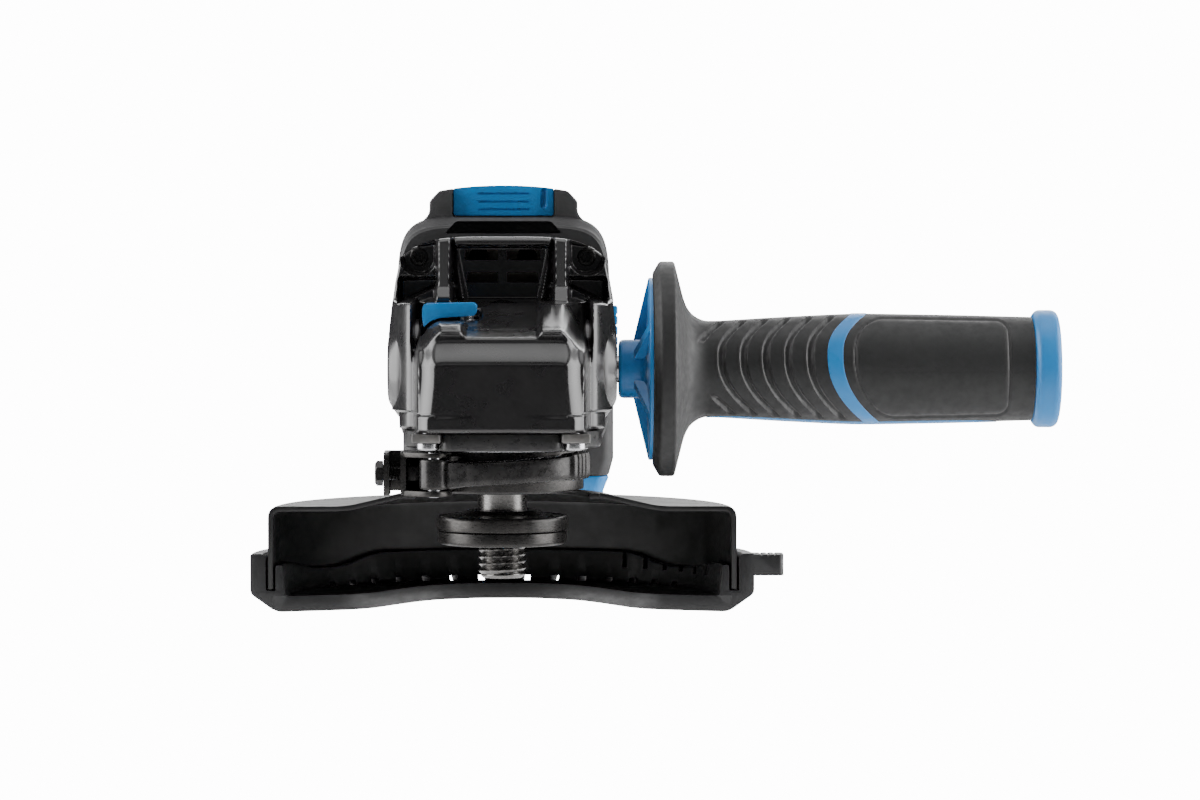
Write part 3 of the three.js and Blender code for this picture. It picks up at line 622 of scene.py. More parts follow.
def case_relief(x, z):
    """Depth y of the case's front at (x, z): the nose block with its rounded corners, the brow that runs
    up and back to the vent window, and round that the gussets, pillars, screw pockets and hollows."""
    ax = np.abs(x)
    # nose block: crowned face, rounded corners, side walls, bevelled top
    corner = FACE_HALF + 1.0 * ease(60, 46, z)
    face = NOSE_FRONT + 0.0016 * ax ** 2 + 4.2 * ease(corner, corner + CHAMFER, ax) ** 1.5
    bevel_line = BEVEL_Z - 0.6 * ease(15, 22, ax)
    face = face + 6.6 * ease(bevel_line - 1.2, bevel_line + 6.4, z)
    wall = 20.0 * ease(23.2, 25.2, ax)
    # brow: slopes back from the nose's top edge, lower in the middle channel
    edge = NOSE_TOP_Z + 1.6 * ease(9.4, 11.8, ax) - 5.6 * ease(16.5, 24.2, ax)
    run = np.clip(z - edge, 0, None)
    brow = (3.9 - 0.7 * ease(9.6, 14.0, ax)) * run * np.sqrt(ease(0, 2.2, run))
    nose = np.minimum(face + wall, -12.0 + 0.4 * (ax - 24.0)) + brow
    # flank: swings out and back from the nose wall to the side
    swing = np.clip((ax - 24.9) / (33.3 - 24.9), 0, 1)
    flank = -14.0 + 27.0 * swing ** 1.9 + 5.0 * ease(66, 84, z)
    y = blend(nose, flank, ease(24.2, 26.0, ax))
    y = np.minimum(y, 10.0 + 5.0 * ease(19, 30, ax))
    # shoulders beside the channel carry on up to the pillars
    shoulder = ease(9.6, 11.2, ax) * (1 - ease(15, 23, ax)) * ease(70.5, 72.5, z) * (1 - ease(80, 84, z))
    y = y - 2.6 * shoulder
    # two fine grooves across the channel
    for low in (70.3, 71.5):
        y = y + 0.7 * window_mask(ax, z, -1, 7.6, low, low + 0.45, 0.2)
    # head above the ledge: sunk window panel, header over it
    above = ease(LEDGE_Z, LEDGE_Z + 1.2, z)
    y = blend(y, 13.0, above)
    y = blend(y, 15.5, above * (1 - ease(12.6, 13.4, ax)) * (1 - ease(94.8, 95.8, z)))
    # gussets: wedges that lean out to the pillars as they rise
    rise = np.clip((WINDOW_TOP - z) / 15.1, 0, 1)
    lean = 13.4 - 2.9 * rise
    wedge = ease(lean - 0.3, lean + 0.6, ax) * (1 - ease(14.6, 15.2, ax)) * above
    y = blend(y, 15.0 - 11.5 * rise + 1.6 * (ax - lean), wedge)
    # pillars: fronts that lean back a little, with a flared foot
    pillar = window_mask(ax, z, PILLAR_IN, PILLAR_OUT, PILLAR_FOOT, 98.0, 0.5)
    y = blend(y, 3.0 + 0.42 * (z - 84), pillar)
    foot = ease(13.8, 15.0, ax) * (1 - ease(18.6, 22.5, ax))
    foot = foot * ease(77.4, 79.4, z) * (1 - ease(83.2, 84.6, z))
    y = blend(y, np.minimum(y, 3.0 - 1.1 * (84 - z)), foot)
    y = blend(y, 9.5 + 0.55 * (z - 95), ease(94.9, 95.6, z) * (1 - ease(13.8, 14.6, ax)))
    # screw pockets with round ends, and the three-cornered hollows below them
    outboard = ease(19.0, 19.8, ax)
    y = blend(y, 12.4, above * outboard)
    reach = np.hypot(ax - SCREW_X, np.minimum(z - SCREW_Z, 0.0))
    pocket = (1 - ease(4.6, 5.2, reach)) * outboard * (1 - ease(96.0, 97.0, z + 0.16 * (ax - 19.0)))
    y = blend(y, 21.0, pocket)
    low = 84.0 - 0.46 * (ax - 19.0)
    hollow = ease(low - 0.6, low + 0.4, z) * (1 - ease(HOLLOW_TOP - 0.7, HOLLOW_TOP + 0.1, z))
    hollow = hollow * outboard * (1 - ease(29.2, 30.4, ax))
    y = blend(y, 17.5, hollow)
    # lower lip with its corner bosses
    y = y - 0.5 * (1 - ease(LIP_TOP, LIP_TOP + 0.5, z)) * (1 - ease(25.0, 25.4, ax))
    return np.maximum(y - 1.1 * window_mask(ax, z, 18.6, 25.0, 40.0, 48.3, 0.3), NOSE_LIMIT)


def lock_cutout(x, z, y):
    """Sinks the opening round the lock button and raises a rounded lip along its lower edge."""
    low = 74.3 - 1.9 * (1 - ease(-22.4, -17.5, x)) + 0.5 * ease(-14.0, -7.0, x)
    across = ease(-24.2, -23.4, x) * (1 - ease(-6.4, -5.6, x))
    hole = across * ease(low - 0.25, low + 0.25, z) * (1 - ease(80.1, 80.7, z))
    y = blend(y, np.maximum(y, -0.6), hole)
    crest = np.exp(-((z - (low - 1.1)) / 0.75) ** 2)
    return y - 1.7 * crest * ease(-22.6, -19.5, x) * (1 - ease(-6.6, -4.0, x)) * (1 - hole)


def soft_corners(y, passes):
    """Rounds a relief's creases like a casting's: each pass averages every depth with its neighbours,
    one quarter, one half, one quarter, along both directions of the grid."""
    for _ in range(passes):
        y[1:-1] = 0.25 * y[:-2] + 0.5 * y[1:-1] + 0.25 * y[2:]
        y[:, 1:-1] = 0.25 * y[:, :-2] + 0.5 * y[:, 1:-1] + 0.25 * y[:, 2:]
    return y


def gear_case():
    """Front: a grid of (x, z) with its depth from the relief. Its edge then runs straight back to the
    rear face in rings, and the rear face closes it."""
    across, up = 300, 256
    u = np.linspace(-1, 1, across)
    v = np.linspace(0, 1, up)
    vv, uu = np.meshgrid(v, u, indexing="ij")
    level = CASE_BOTTOM + (CASE_WIDTH[-1][0] - CASE_BOTTOM) * vv
    x = uu * case_half_width(level)
    top = CASE_TOP - RIM_DROP * (np.abs(x) / RIM_HALF) ** RIM_POWER
    z = CASE_BOTTOM + (top - CASE_BOTTOM) * vv
    y = soft_corners(lock_cutout(x, z, case_relief(x, z)), 2)
    front = np.stack([x, y, z], -1)
    # round the front's edge over, so the case has no knife edge
    half_width, height, rounding = 33, 55, 1.1
    edge = np.minimum(np.minimum(uu + 1, 1 - uu) * half_width, np.minimum(vv, 1 - vv) * height)
    front[..., Y] += rounding * (1 - np.clip(edge / rounding, 0, 1)) ** 2
    verts = front.reshape(-1, 3)
    faces = grid_faces(up, across)
    index = np.arange(up * across).reshape(up, across)
    rim = np.concatenate([index[0, :-1], index[:-1, -1], index[-1, :0:-1], index[:0:-1, 0]])
    edge_points = verts[rim]
    shares = np.linspace(0, 1, 9)[1:, None]
    rings = np.repeat(edge_points[None], len(shares), axis=0)
    rings[..., Y] = blend(edge_points[:, Y], CASE_REAR, shares)
    count = len(rim)
    first = len(verts)
    all_verts = np.concatenate([verts, rings.reshape(-1, 3)])
    turn = np.arange(count)
    following = (turn + 1) % count
    walls = np.stack([rim[turn], rim[following], first + following, first + turn], -1).tolist()
    faces = faces + walls + grid_faces(len(rings), count, False, True, first)
    last = first + (len(rings) - 1) * count
    faces.append(list(range(last, last + count)))
    case = mesh_piece("gear_case_casting", all_verts, faces)
    for side in (-1, 1):
        boss = [(0, 24), (14.5, 24), (14.5, 29.6), (9.2, 33.1), (0, 33.1)]
        boss = fillet(boss, [0, 0, 1.5, 1.5, 0], 6, False)
        boss[:, 1] *= side
        fuse(case, turned("boss", boss, "x", HANDLE_AT, 64))
    carve(case, rod("room", "z", 24.6, CASE_BOTTOM - 2, 64.5, steps=96))
    carve(case, rod("seat", "z", 8.3, 64, 72, steps=48))
    carve(case, rod("tunnel", "y", 11.6, 5, CASE_REAR + 2, (0, MOTOR_Z), 64))
    rear = fillet(mirrored([(0, 95.3), (13, 94.8), (17, 86), (17, 82), (0, 82)]), 1.0, 4)
    carve(case, prism("plenum", rear, "y", 18.5, CASE_REAR + 2))
    for low, high, far in ((91.2, 94.3, 11.1), (84.7, 87.7, 10.5)):
        for side in (-1, 1):
            hole = fillet([(1.3, low), (far, low), (far - 0.4, high), (1.3, high)], 0.6, 5) * (side, 1)
            carve(case, prism("slot", hole, "y", 0, 25))
    for side in (-1, 1):
        inner, outer = sorted((side * 23, side * 36))
        carve(case, rod("handle_bore", "x", 4.3, inner, outer, HANDLE_AT, 40))
        carve(case, rod("screw_bore", "y", 2.4, 15, CASE_REAR + 2, (side * SCREW_X, SCREW_Z), 24))
    carve(case, rod("lock_bore", "z", 2.6, 60, 80, (-10.2, -5), 32))
    carve(case, block("lock_pocket", (-23.1, -14, 68.7), (-6.6, -1.2, 80)))
    return place(case, "housing", "case_paint", PAINT, "gear_case")


gear_case()


# ---------------------------------------------------------------- screws and bearing cover
def star_socket(centre, radius, axis, low, high):
    """Six-lobed recess: its radius swings between 1 and 0.76 of the full size six times a turn."""
    turn = np.linspace(0, 2 * np.pi, 72, endpoint=False)
    reach = radius * (0.88 + 0.12 * np.cos(6 * turn))
    outline = np.stack([centre[0] + reach * np.cos(turn), centre[1] + reach * np.sin(turn)], -1)
    return prism("socket", outline, axis, low, high)


def case_screw(index):
    """Pan-head screw whose head faces the nose."""
    low, high = box_mm(f"gear_case_screw_{index}")
    centre = ((low[0] + high[0]) / 2, (low[2] + high[2]) / 2)
    start, end = low[1], high[1]
    profile = fillet([(0, start), (2.6, start + 0.1), (3.3, start + 1.1), (3.3, start + 3), (1.8, start + 3),
                      (1.8, end - 1), (1.0, end), (0, end)], [0, 0.6, 0.5, 0.1, 0.1, 0.3, 0.3, 0], 5, False)
    screw = turned("screw", profile, "y", centre, 64)
    carve(screw, star_socket(centre, 1.75, "y", start - 1, start + 1.7))
    screw.name = f"case_screw_{index}"
    place(screw, "housing", "dark_steel", BLACK_SCREW, f"gear_case_screw_{index}")


def cover_screw(index):
    """Countersunk cap screw that holds the bearing cover, head downwards."""
    low, high = box_mm(f"cover_screw_{index}")
    centre = ((low[0] + high[0]) / 2, (low[1] + high[1]) / 2)
    base, top = low[2], high[2]
    profile = fillet([(0, base), (2.9, base), (3.2, base + 0.4), (3.2, base + 2.3), (1.6, base + 2.3),
                      (1.6, top - 1), (0.8, top), (0, top)], [0, 0.2, 0.2, 0.1, 0.1, 0.3, 0.3, 0], 4, False)
    screw = turned("screw", profile, "z", centre, 48)
    carve(screw, star_socket(centre, 1.5, "z", base - 1, base + 1.3))
    screw.name = f"bearing_cover_screw_{index}"
    place(screw, "housing", "dark_steel", STEEL, f"cover_screw_{index}")


for number in (1, 2, 3, 4):
    case_screw(number)
for number in (1, 2, 3, 4):
    cover_screw(number)
COVER_SCREWS = [(-20.5, -30.5), (20.5, -30.5), (-22, 27), (22, 27)]


def bearing_cover():
    """Cast plate under the gear case: body set back from the front, an ear at each screw, polished
    retaining ring, and the neck that carries the guard."""
    half = [(0, -34.5), (15.5, -34.5), (17.5, -32.0), (21, -24), (28.2, -8), (28.8, 10), (28.8, 30),
            (25.5, 35.5), (0, 35.5)]
    outline = fillet(mirrored(half), [0] + [2.0] * 7 + [0] + [2.0] * 7, 5)
    body = prism("bearing_cover_casting", outline, "z", 38.0, 43.0, 0.7)
    for side in (-1, 1):
        near, far = side * 16.8, side * 24.7
        ear = fillet([(near, -36.6), (far, -36.6), (far, -24), (near, -24)], 1.4, 5)
        fuse(body, prism("ear", ear, "z", 40.3, 43.0, 0.5))
    neck = fillet([(0, 25), (20.4, 25), (21, 25.6), (21, 36.2), (20.2, 36.8), (20.2, 38.6), (0, 38.6)],
                  [0, 0.3, 0.3, 0.3, 0.3, 0.2, 0], 4, False)
    fuse(body, turned("neck", neck, "z", steps=128))
    carve(body, rod("seat", "z", 16.3, 30, 45, steps=96))
    carve(body, rod("bore", "z", 8.0, 20, 31, steps=64))
    for x, y in COVER_SCREWS:
        carve(body, rod("head_room", "z", 3.7, 36, 40.8, (x, y), 40))
        carve(body, rod("screw_bore", "z", 2.1, 36, 45, (x, y), 32))
    place(body, "housing", "cast_cover", ALLOY_DARK, "bearing_cover")
    ring = fillet([(20.5, 37.2), (24.6, 37.2), (25.2, 37.8), (25.2, 37.9), (20.5, 37.9)], 0.15, 3)
    retainer = turned("retaining_ring", ring, "z", steps=128, closed=True)
    place(retainer, "housing", "machined_steel", STEEL)
    for side in (-1, 1):
        near, far = side * 17.2, side * 24.9
        plate = fillet([(near, -37.2), (far, -37.2), (far, -36.8), (near, -36.8)], 0.1, 3)
        lug = prism("cover_ear_left" if side < 0 else "cover_ear_right", plate, "z", 40.6, 43.0, 0.15)
        place(lug, "housing", "cast_cover", ALLOY)


bearing_cover()


# ---------------------------------------------------------------- motor housing and slide switch
def housing_section(y, width, bottom, top, power=3.6):
    """Rounded square outline: |x/w|^p + |z/h|^p = 1 about the motor axis, each half with its own height
    and, where power is a pair, its own roundness (above, below)."""
    turn = np.linspace(0, 2 * np.pi, 200, endpoint=False)
    c, s = np.cos(turn), np.sin(turn)
    height = np.where(s > 0, top - MOTOR_Z, MOTOR_Z - bottom)
    above, below = power if isinstance(power, tuple) else (power, power)
    p = np.where(s > 0, above, below)
    reach = (np.abs(c / width) ** p + np.abs(s / height) ** p) ** (-1.0 / p)
    return on_axis("y", reach * c, MOTOR_Z + reach * s, np.full(turn.shape, float(y)))


def loft(name, stations, power=3.6, smooth_steps=6):
    """Sections joined along y; between two stations every size follows a smooth S."""
    rows = []
    for (y0, *a), (y1, *b) in zip(stations[:-1], stations[1:]):
        for t in np.linspace(0, 1, smooth_steps, endpoint=False):
            sizes = [blend(p, q, ease(0, 1, t)) for p, q in zip(a, b)]
            rows.append(housing_section(blend(y0, y1, t), *sizes, power))
    rows.append(housing_section(*stations[-1], power))
    return skin(name, np.array(rows))


def motor_housing():
    """Motor barrel with a flat-shouldered block for the slider on top: sections (y, half width, bottom,
    top), with a three-step bore, a room for the switch rod and five louvres in each side."""
    shell = loft("motor_housing_shell", [
        (HOUSING_FRONT, 30.6, 36.2, 100.6), (HOUSING_FRONT + 0.8, 31.2, 35.2, 101.4), (44, 31.5, 34.0, 104.0),
        (72, 31.3, 34.2, 104.2), (98, 30.0, 36.5, 103.4), (107, 28.0, 38.8, 100.2),
        (HOUSING_REAR - 0.8, 26.9, 40.2, 98.2), (HOUSING_REAR, 26.2, 41, 97.5)], (6.0, 7.0))
    half = [(0, 112.1), (15.3, 112.1), (19.1, 111.5), (22.0, 108.4), (22.0, 104.6), (25.0, 101.6), (0, 90)]
    shoulder = fillet(mirrored(half), [0, 0, 0.8, 0.8, 1.6, 0, 0, 0, 1.6, 0.8, 0.8, 0], 5)
    fuse(shell, prism("block", shoulder, "y", BLOCK_FRONT, 94, 0.6))
    trapezoid = fillet([(-14.1, 102.5), (14.1, 102.5), (17.4, 98.8), (-17.4, 98.8)], 0.9, 4)
    carve(shell, prism("recess", trapezoid, "y", 36, BLOCK_FRONT + 4))
    slot = fillet([(-15.2, 103.6), (15.2, 103.6), (15.2, 118), (-15.2, 118)], [1.0, 1.0, 0, 0], 5)
    carve(shell, prism("slot", slot, "y", 36, 88))
    carve(shell, rod("barrel", "y", 27.8, HOUSING_FRONT - 2, 99, (0, MOTOR_Z), 128))
    carve(shell, rod("barrel", "y", 25.4, 98, 104, (0, MOTOR_Z), 96))
    carve(shell, rod("barrel", "y", 20, 103, HOUSING_REAR + 2, (0, MOTOR_Z), 96))
    rod_front = box_mm("switch_rod")[0][Y] - 7.3
    carve(shell, block("rod_room", (-3.2, rod_front, 98), (3.2, 88, 104)),
          block("rod_end_room", (-3.2, 86, 98), (3.2, 97.4, 102.8)))
    for side in (-1, 1):
        for row in range(5):
            low = 58 + row * 5.2
            louvre = fillet([(80, low), (92, low), (92, low + 2.2), (80, low + 2.2)], 1.0, 5)
            inner, outer = sorted((side * 27.0, side * 36.0))
            carve(shell, prism("louvre", louvre, "x", inner, outer))
    place(shell, "housing", "housing_plastic", HOUSING, "motor_housing")


motor_housing()


def slide_switch():
    """Thumb slider: crowned cap with rounded ends, three grooves across its front and a thumb dimple."""
    low, high = box_mm("slide_switch")
    half = 14.9
    crown = np.linspace(-half, half, 40)
    top = high[2] - 0.9 * (np.abs(crown) / half) ** 2.2
    arch = list(zip(crown[::-1][1:-1], top[::-1][1:-1]))
    outline = [(half, low[2]), (half, top[-1])] + arch + [(-half, top[0]), (-half, low[2])]
    outline = fillet(outline, [0.8, 0.8] + [0] * (len(outline) - 4) + [0.8, 0.8], 5)
    cap = prism("slide_switch_cap", outline, "y", low[1], high[1], 0.7)
    for z in (110.7, 108.3, 106.0):
        groove = fillet([(-7.6, z - 0.32), (7.6, z - 0.32), (7.6, z + 0.32), (-7.6, z + 0.32)], 0.3, 4)
        carve(cap, prism("groove", groove, "y", low[1] - 1, low[1] + 0.7))
    for y in np.arange(low[1] + 6, high[1] - 4, 3.2):
        carve(cap, rod("rib_gap", "x", 0.8, -10.5, 10.5, (y, high[2] + 0.25), 20))
    bead = fillet([(0, -3.2), (1.1, -2.6), (1.1, 2.6), (0, 3.2)], [0, 0.8, 0.8, 0], 5, False)
    dimple = turned("dimple", bead, "z", steps=32)
    dimple.data.transform(Matrix.Translation(Vector((12.0, low[1] - 0.2, 109.2)) * MM))
    carve(cap, dimple)
    place(cap, "switch", "blue_plastic", BLUE, "slide_switch")


slide_switch()


def lock_button():
    """Spindle-lock button: level bar whose left end turns down, with rounded edges and a socket that
    takes the spring."""
    low, high = box_mm("spindle_lock_button")
    outline = [(-22.4, 79.0), (-8.0, 79.3), (-7.0, 78.4), (-7.4, 75.7), (-17.8, 75.0), (-20.2, 74.2),
               (-22.2, 72.4), (-22.7, 75.5)]
    outline = fillet(outline, [1.2, 0.8, 0.8, 0.9, 0.9, 0.9, 0.3, 0.8], 5)
    bar = prism("spindle_lock_cap", outline, "y", low[1], high[1], 0.5)
    spring_low, spring_high = box_mm("lock_spring")
    room = (spring_high[0] - spring_low[0]) / 2 + 0.3
    centre = (spring_low + spring_high) / 2
    carve(bar, rod("spring_room", "z", room, 70, min(spring_high[2] + 3.0, 78.6), (centre[0], centre[1]), 32))
    place(bar, "lock_button", "blue_plastic", BLUE, "spindle_lock_button")


lock_button()


# ---------------------------------------------------------------- guard
def guard_drum():
    """Sheet drum: profile turned about the spindle, of which the half behind the neck stays."""
    wall, roof, slope_foot, collar_top = 67.5, 20.5, 45.0, 24.3
    sheet = 1.5
    profile = [(25, collar_top), (29, collar_top), (slope_foot, roof), (wall, roof), (wall, -3.4),
               (wall - sheet, -3.4), (wall - sheet, roof - sheet), (slope_foot, roof - sheet),
               (29, collar_top - sheet), (25, collar_top - sheet)]
    drum = turned("guard_drum_sheet", fillet(profile, [0.4, 2, 4, 3.4, 0.5, 0.5, 2.2, 4, 2, 0.4], 7), "z",
                  steps=192, closed=True)
    far, low, high = 80, -20, 40
    carve(drum, block("front", (-far, -far, low), (far, -2, high)),
          block("wings", (28, -far, low), (far, 0, high)), block("wings", (-far, -far, low), (-28, 0, high)))
    soften(drum, 0.35, 2, 40)
    place(drum, "guard", "guard_paint", POWDER, "guard_drum")


guard_drum()


LEVER_PIN = (-19.0, -25.6)
CLAMP_SCREW_AT = (-17.0, 31.0)


def hexagon(radius, centre):
    """Outline of a hexagon, corners at radius from centre."""
    turn = np.radians(np.arange(6) * 60 + 30)
    return np.stack([centre[0] + radius * np.cos(turn), centre[1] + radius * np.sin(turn)], -1)


def clamp_band():
    """Split band round the neck, two ear plates for the screw, and a fork that holds the lever's pin."""
    section = fillet([(21.3, 25.7), (23.4, 25.7), (23.4, 37.2), (21.3, 37.2)], 0.4, 4)
    band = turned("clamp_band_steel", section, "z", steps=160, closed=True)
    carve(band, block("split", (-30, -3, 20), (0, 1, 40)))
    for x0, x1 in ((-33.4, -31.8), (-28.6, -27.0)):
        ear = fillet([(-23, 24.9), (-9, 24.9), (-9, 37.2), (-23, 37.2)], [2.4, 0, 0, 2.4], 6)
        fuse(band, prism("ear", ear, "x", x0, x1))
    fuse(band, block("web", (-33.4, -10.5, 25.7), (-20, -9, 37.2)))
    fork = fillet([(-28, -23), (-27, -10), (-19, -10), (-14, -18), (-14.5, -26), (-18, -29.6), (-22, -28)],
                  [1, 0, 1, 2, 3, 3, 2], 6)
    for z0, z1 in ((24.9, 26.4), (35.9, 37.2)):
        fuse(band, prism("fork", fork, "z", z0, z1))
    carve(band, rod("screw_hole", "x", 2.4, -40, -20, CLAMP_SCREW_AT),
          rod("pin_hole", "z", 2.1, 20, 40, LEVER_PIN), rod("neck", "z", 21.3, 20, 40, steps=160))
    soften(band, 0.3, 2, 35)
    place(band, "guard", "dark_steel", DARK_STEEL, "clamp_band")


clamp_band()


def clamp_screw():
    """Hexagon head with turned-down corners on a shank with a shallow screw thread:
    radius = 2 - 0.25 * triangle wave of (x / pitch - turn)."""
    head = prism("clamp_screw_steel", hexagon(3.6, CLAMP_SCREW_AT), "x", -36, -33.7)
    corners = turned("corners", [(0, -36.2), (2.6, -36.2), (3.7, -35.3), (3.7, -33.6), (0, -33.6)], "x",
                     CLAMP_SCREW_AT, 48)
    combine(head, [corners], "INTERSECT")
    fuse(head, threaded("shank", "x", 2.0, 0.25, 0.8, -33.9, -19.0, CLAMP_SCREW_AT))
    place(head, "guard", "dark_steel", BLACK_SCREW, "clamp_screw")
    nut = prism("clamp_nut_steel", hexagon(4.0, CLAMP_SCREW_AT), "x", -26.7, -23.4)
    carve(nut, rod("thread_hole", "x", 2.3, -30, -20, CLAMP_SCREW_AT))
    soften(nut, 0.3, 2, 35)
    place(nut, "guard", "dark_steel", BLACK_SCREW, "clamp_nut")
    pin = fillet([(0, 24.6), (1.8, 24.6), (1.8, 37.5), (0, 37.5)], [0, 0.5, 0.5, 0], 5, False)
    place(turned("lever_pin_steel", pin, "z", LEVER_PIN, 48), "guard", "machined_steel", STEEL, "lever_pin")


def threaded(name, axis, radius, depth, pitch, low, high, centre=(0, 0), steps=48):
    """Round bar with a helical thread: radius less depth times a triangle wave of (h / pitch - turn)."""
    rows = int((high - low) / (pitch / 8)) + 1
    height = np.linspace(low, high, rows)[:, None]
    turn = np.linspace(0, 2 * np.pi, steps, endpoint=False)[None, :]
    wave = np.abs(((height / pitch - turn / (2 * np.pi)) % 1.0) * 2 - 1)
    fade = ease(low, low + pitch, height) * (1 - ease(high - pitch, high, height))
    reach = radius - depth * wave * fade
    u, v = centre[0] + reach * np.cos(turn), centre[1] + reach * np.sin(turn)
    points = on_axis(axis, u, v, height + 0 * turn)
    return skin(name, points)


clamp_screw()


def clamp_lever():
    """Over-centre lever: a rounded bar carried along an arc about the spindle, rising to its free end,
    where it thickens into a ribbed thumb tab; t runs from the pin (0) to the tab (1)."""
    start, sweep, tab_start = -127, 92, 0.80
    t = np.concatenate([np.linspace(0, tab_start, 60), np.linspace(0.81, 1.0, 46)])
    angle = np.radians(start + sweep * t)
    tab = ease(tab_start, 0.835, t)
    low = 26.9 + 2.8 * t
    high = low + 7.7
    inner = 27.6 - 1.2 * t
    outer = 31.6 + 2.0 * np.sin(np.pi * t) - 0.7 * (1 - tab) * ease(0.05, 0.2, t)
    ribs = 0.5 - 0.5 * np.cos(2 * np.pi * (t - 0.84) / 0.032)
    outer = outer - 0.35 * tab * ribs * ease(0.85, 0.86, t)
    high = high - 0.5 * (1 - tab) * ease(0.1, 0.25, t)
    low = low + 0.4 * (1 - tab) * ease(0.1, 0.25, t)
    closing = np.sqrt(np.clip(1 - (np.clip(t - 0.955, 0, None) / 0.045) ** 2, 0.02, 1))
    around = np.linspace(0, 2 * np.pi, 40, endpoint=False)
    c, s = np.cos(around)[None, :], np.sin(around)[None, :]
    power = 6.0
    size = (np.abs(c) ** power + np.abs(s) ** power) ** (-1.0 / power)
    mid_r, half_r = (inner + outer) / 2, (outer - inner) / 2 * closing
    mid_z, half_z = (low + high) / 2, (high - low) / 2 * (0.35 + 0.65 * closing)
    reach = mid_r[:, None] + half_r[:, None] * c * size
    height = mid_z[:, None] + half_z[:, None] * s * size
    points = np.stack([reach * np.cos(angle)[:, None], reach * np.sin(angle)[:, None], height], -1)
    lever = skin("clamp_lever_arm", points)
    hub = fillet([(0, 26.9), (4.2, 26.9), (4.2, 35.5), (0, 35.5)], [0, 0.8, 0.8, 0], 5, False)
    fuse(lever, turned("hub", hub, "z", LEVER_PIN, 64))
    carve(lever, rod("pin_hole", "z", 2.1, 20, 40, LEVER_PIN),
          rod("fork_room", "z", 6.2, 20, 26.7, LEVER_PIN, 64))
    place(lever, "lever", "dark_steel", LEVER_BLACK, "clamp_lever")


clamp_lever()


# ---------------------------------------------------------------- clip-on cover
SLOTS_PER_SIDE, FIRST_SLOT, SLOT_STEP = 7, 6, 8            # angles from the rear, degrees
CLIP_NOTCHES, FIRST_NOTCH, NOTCH_STEP = 6, 20, 7


def clip_on_cover():
    """Tray under the guard: profile turned half a circle, its inner wall dipping between the rear and the
    ends, with a mouth cut out of its floor, a row of slots, clip notches and a release tab."""
    rim, floor, top, inner_top = 72.6, FLOOR_Z, 6.8, 3.6
    profile = [(0, floor), (65, floor), (rim, -4.7), (rim, top), (69.2, top), (68.2, 5.6), (68.2, -3.9),
               (65.3, -3.9), (65.3, inner_top), (63.4, inner_top), (62.6, -5.6), (0, -5.6)]
    section = fillet(profile, [0, 1.6, 1.2, 0.7, 0.5, 0.4, 0.4, 0.4, 0.5, 0.5, 1.2, 0], 4, False)
    turn = np.linspace(0, 2 * np.pi, 240, endpoint=False)[None, :]
    from_rear = np.degrees(np.abs(np.arctan2(np.cos(turn), np.sin(turn))))
    reach, height = section[:, :1] + 0 * turn, section[:, 1:] + 0 * turn
    wall_top = inner_top - 3.3 * ease(34, 50, from_rear) + 3.1 * ease(56, 80, from_rear)
    inner_wall = (section[:, :1] < 65.5) & (section[:, 1:] > 0)
    height = np.where(inner_wall, height + wall_top - inner_top, height)
    points = on_axis("z", reach * np.cos(turn), reach * np.sin(turn), height)
    tray = skin("clip_on_cover_tray", points, caps=False)
    carve(tray, block("front", (-90, -90, -20), (90, 0, 20)))
    mouth = [(67.5, -6), (66, 0.8), (40, 10), (27, 34), (21, 42), (9, 49), (-9, 49), (-21, 42), (-27, 34),
             (-40, 10), (-66, 0.8), (-67.5, -6)]
    carve(tray, prism("mouth", fillet(mouth, [0, 0, 9, 9, 4, 6, 6, 4, 9, 9, 0, 0], 9), "z", -15, -5.3))
    for index in range(SLOTS_PER_SIDE):
        for side in (-1, 1):
            slot = block("slot", (-1.3, 61, -6.4), (1.3, 76, -4.2))
            slot.data.transform(Matrix.Rotation(np.radians(side * (FIRST_SLOT + SLOT_STEP * index)), 4, "Z"))
            carve(tray, slot)
    for index in range(CLIP_NOTCHES):
        notch = block("notch", (60, -0.9, -1.2), (64.9, 0.9, 6))
        notch.data.transform(Matrix.Rotation(np.radians(FIRST_NOTCH + NOTCH_STEP * index), 4, "Z"))
        carve(tray, notch)
    tab = fillet([(70.8, 0.2), (80.2, 0.2), (81.1, 1.2), (81.1, 8), (80.1, 9), (70.8, 9)], 0.5, 4)
    fuse(tray, prism("tab", tab, "z", 0.4, 6.5, 0.6))
    for x in (74.6, 76.6, 78.6):
        carve(tray, rod("rib_gap", "y", 0.45, -1, 10, (x, 6.7), 16))
    soften(tray, 0.35, 2, 42)
    place(tray, "cover", "cover_plastic", COVER, "clip_on_cover")


clip_on_cover()


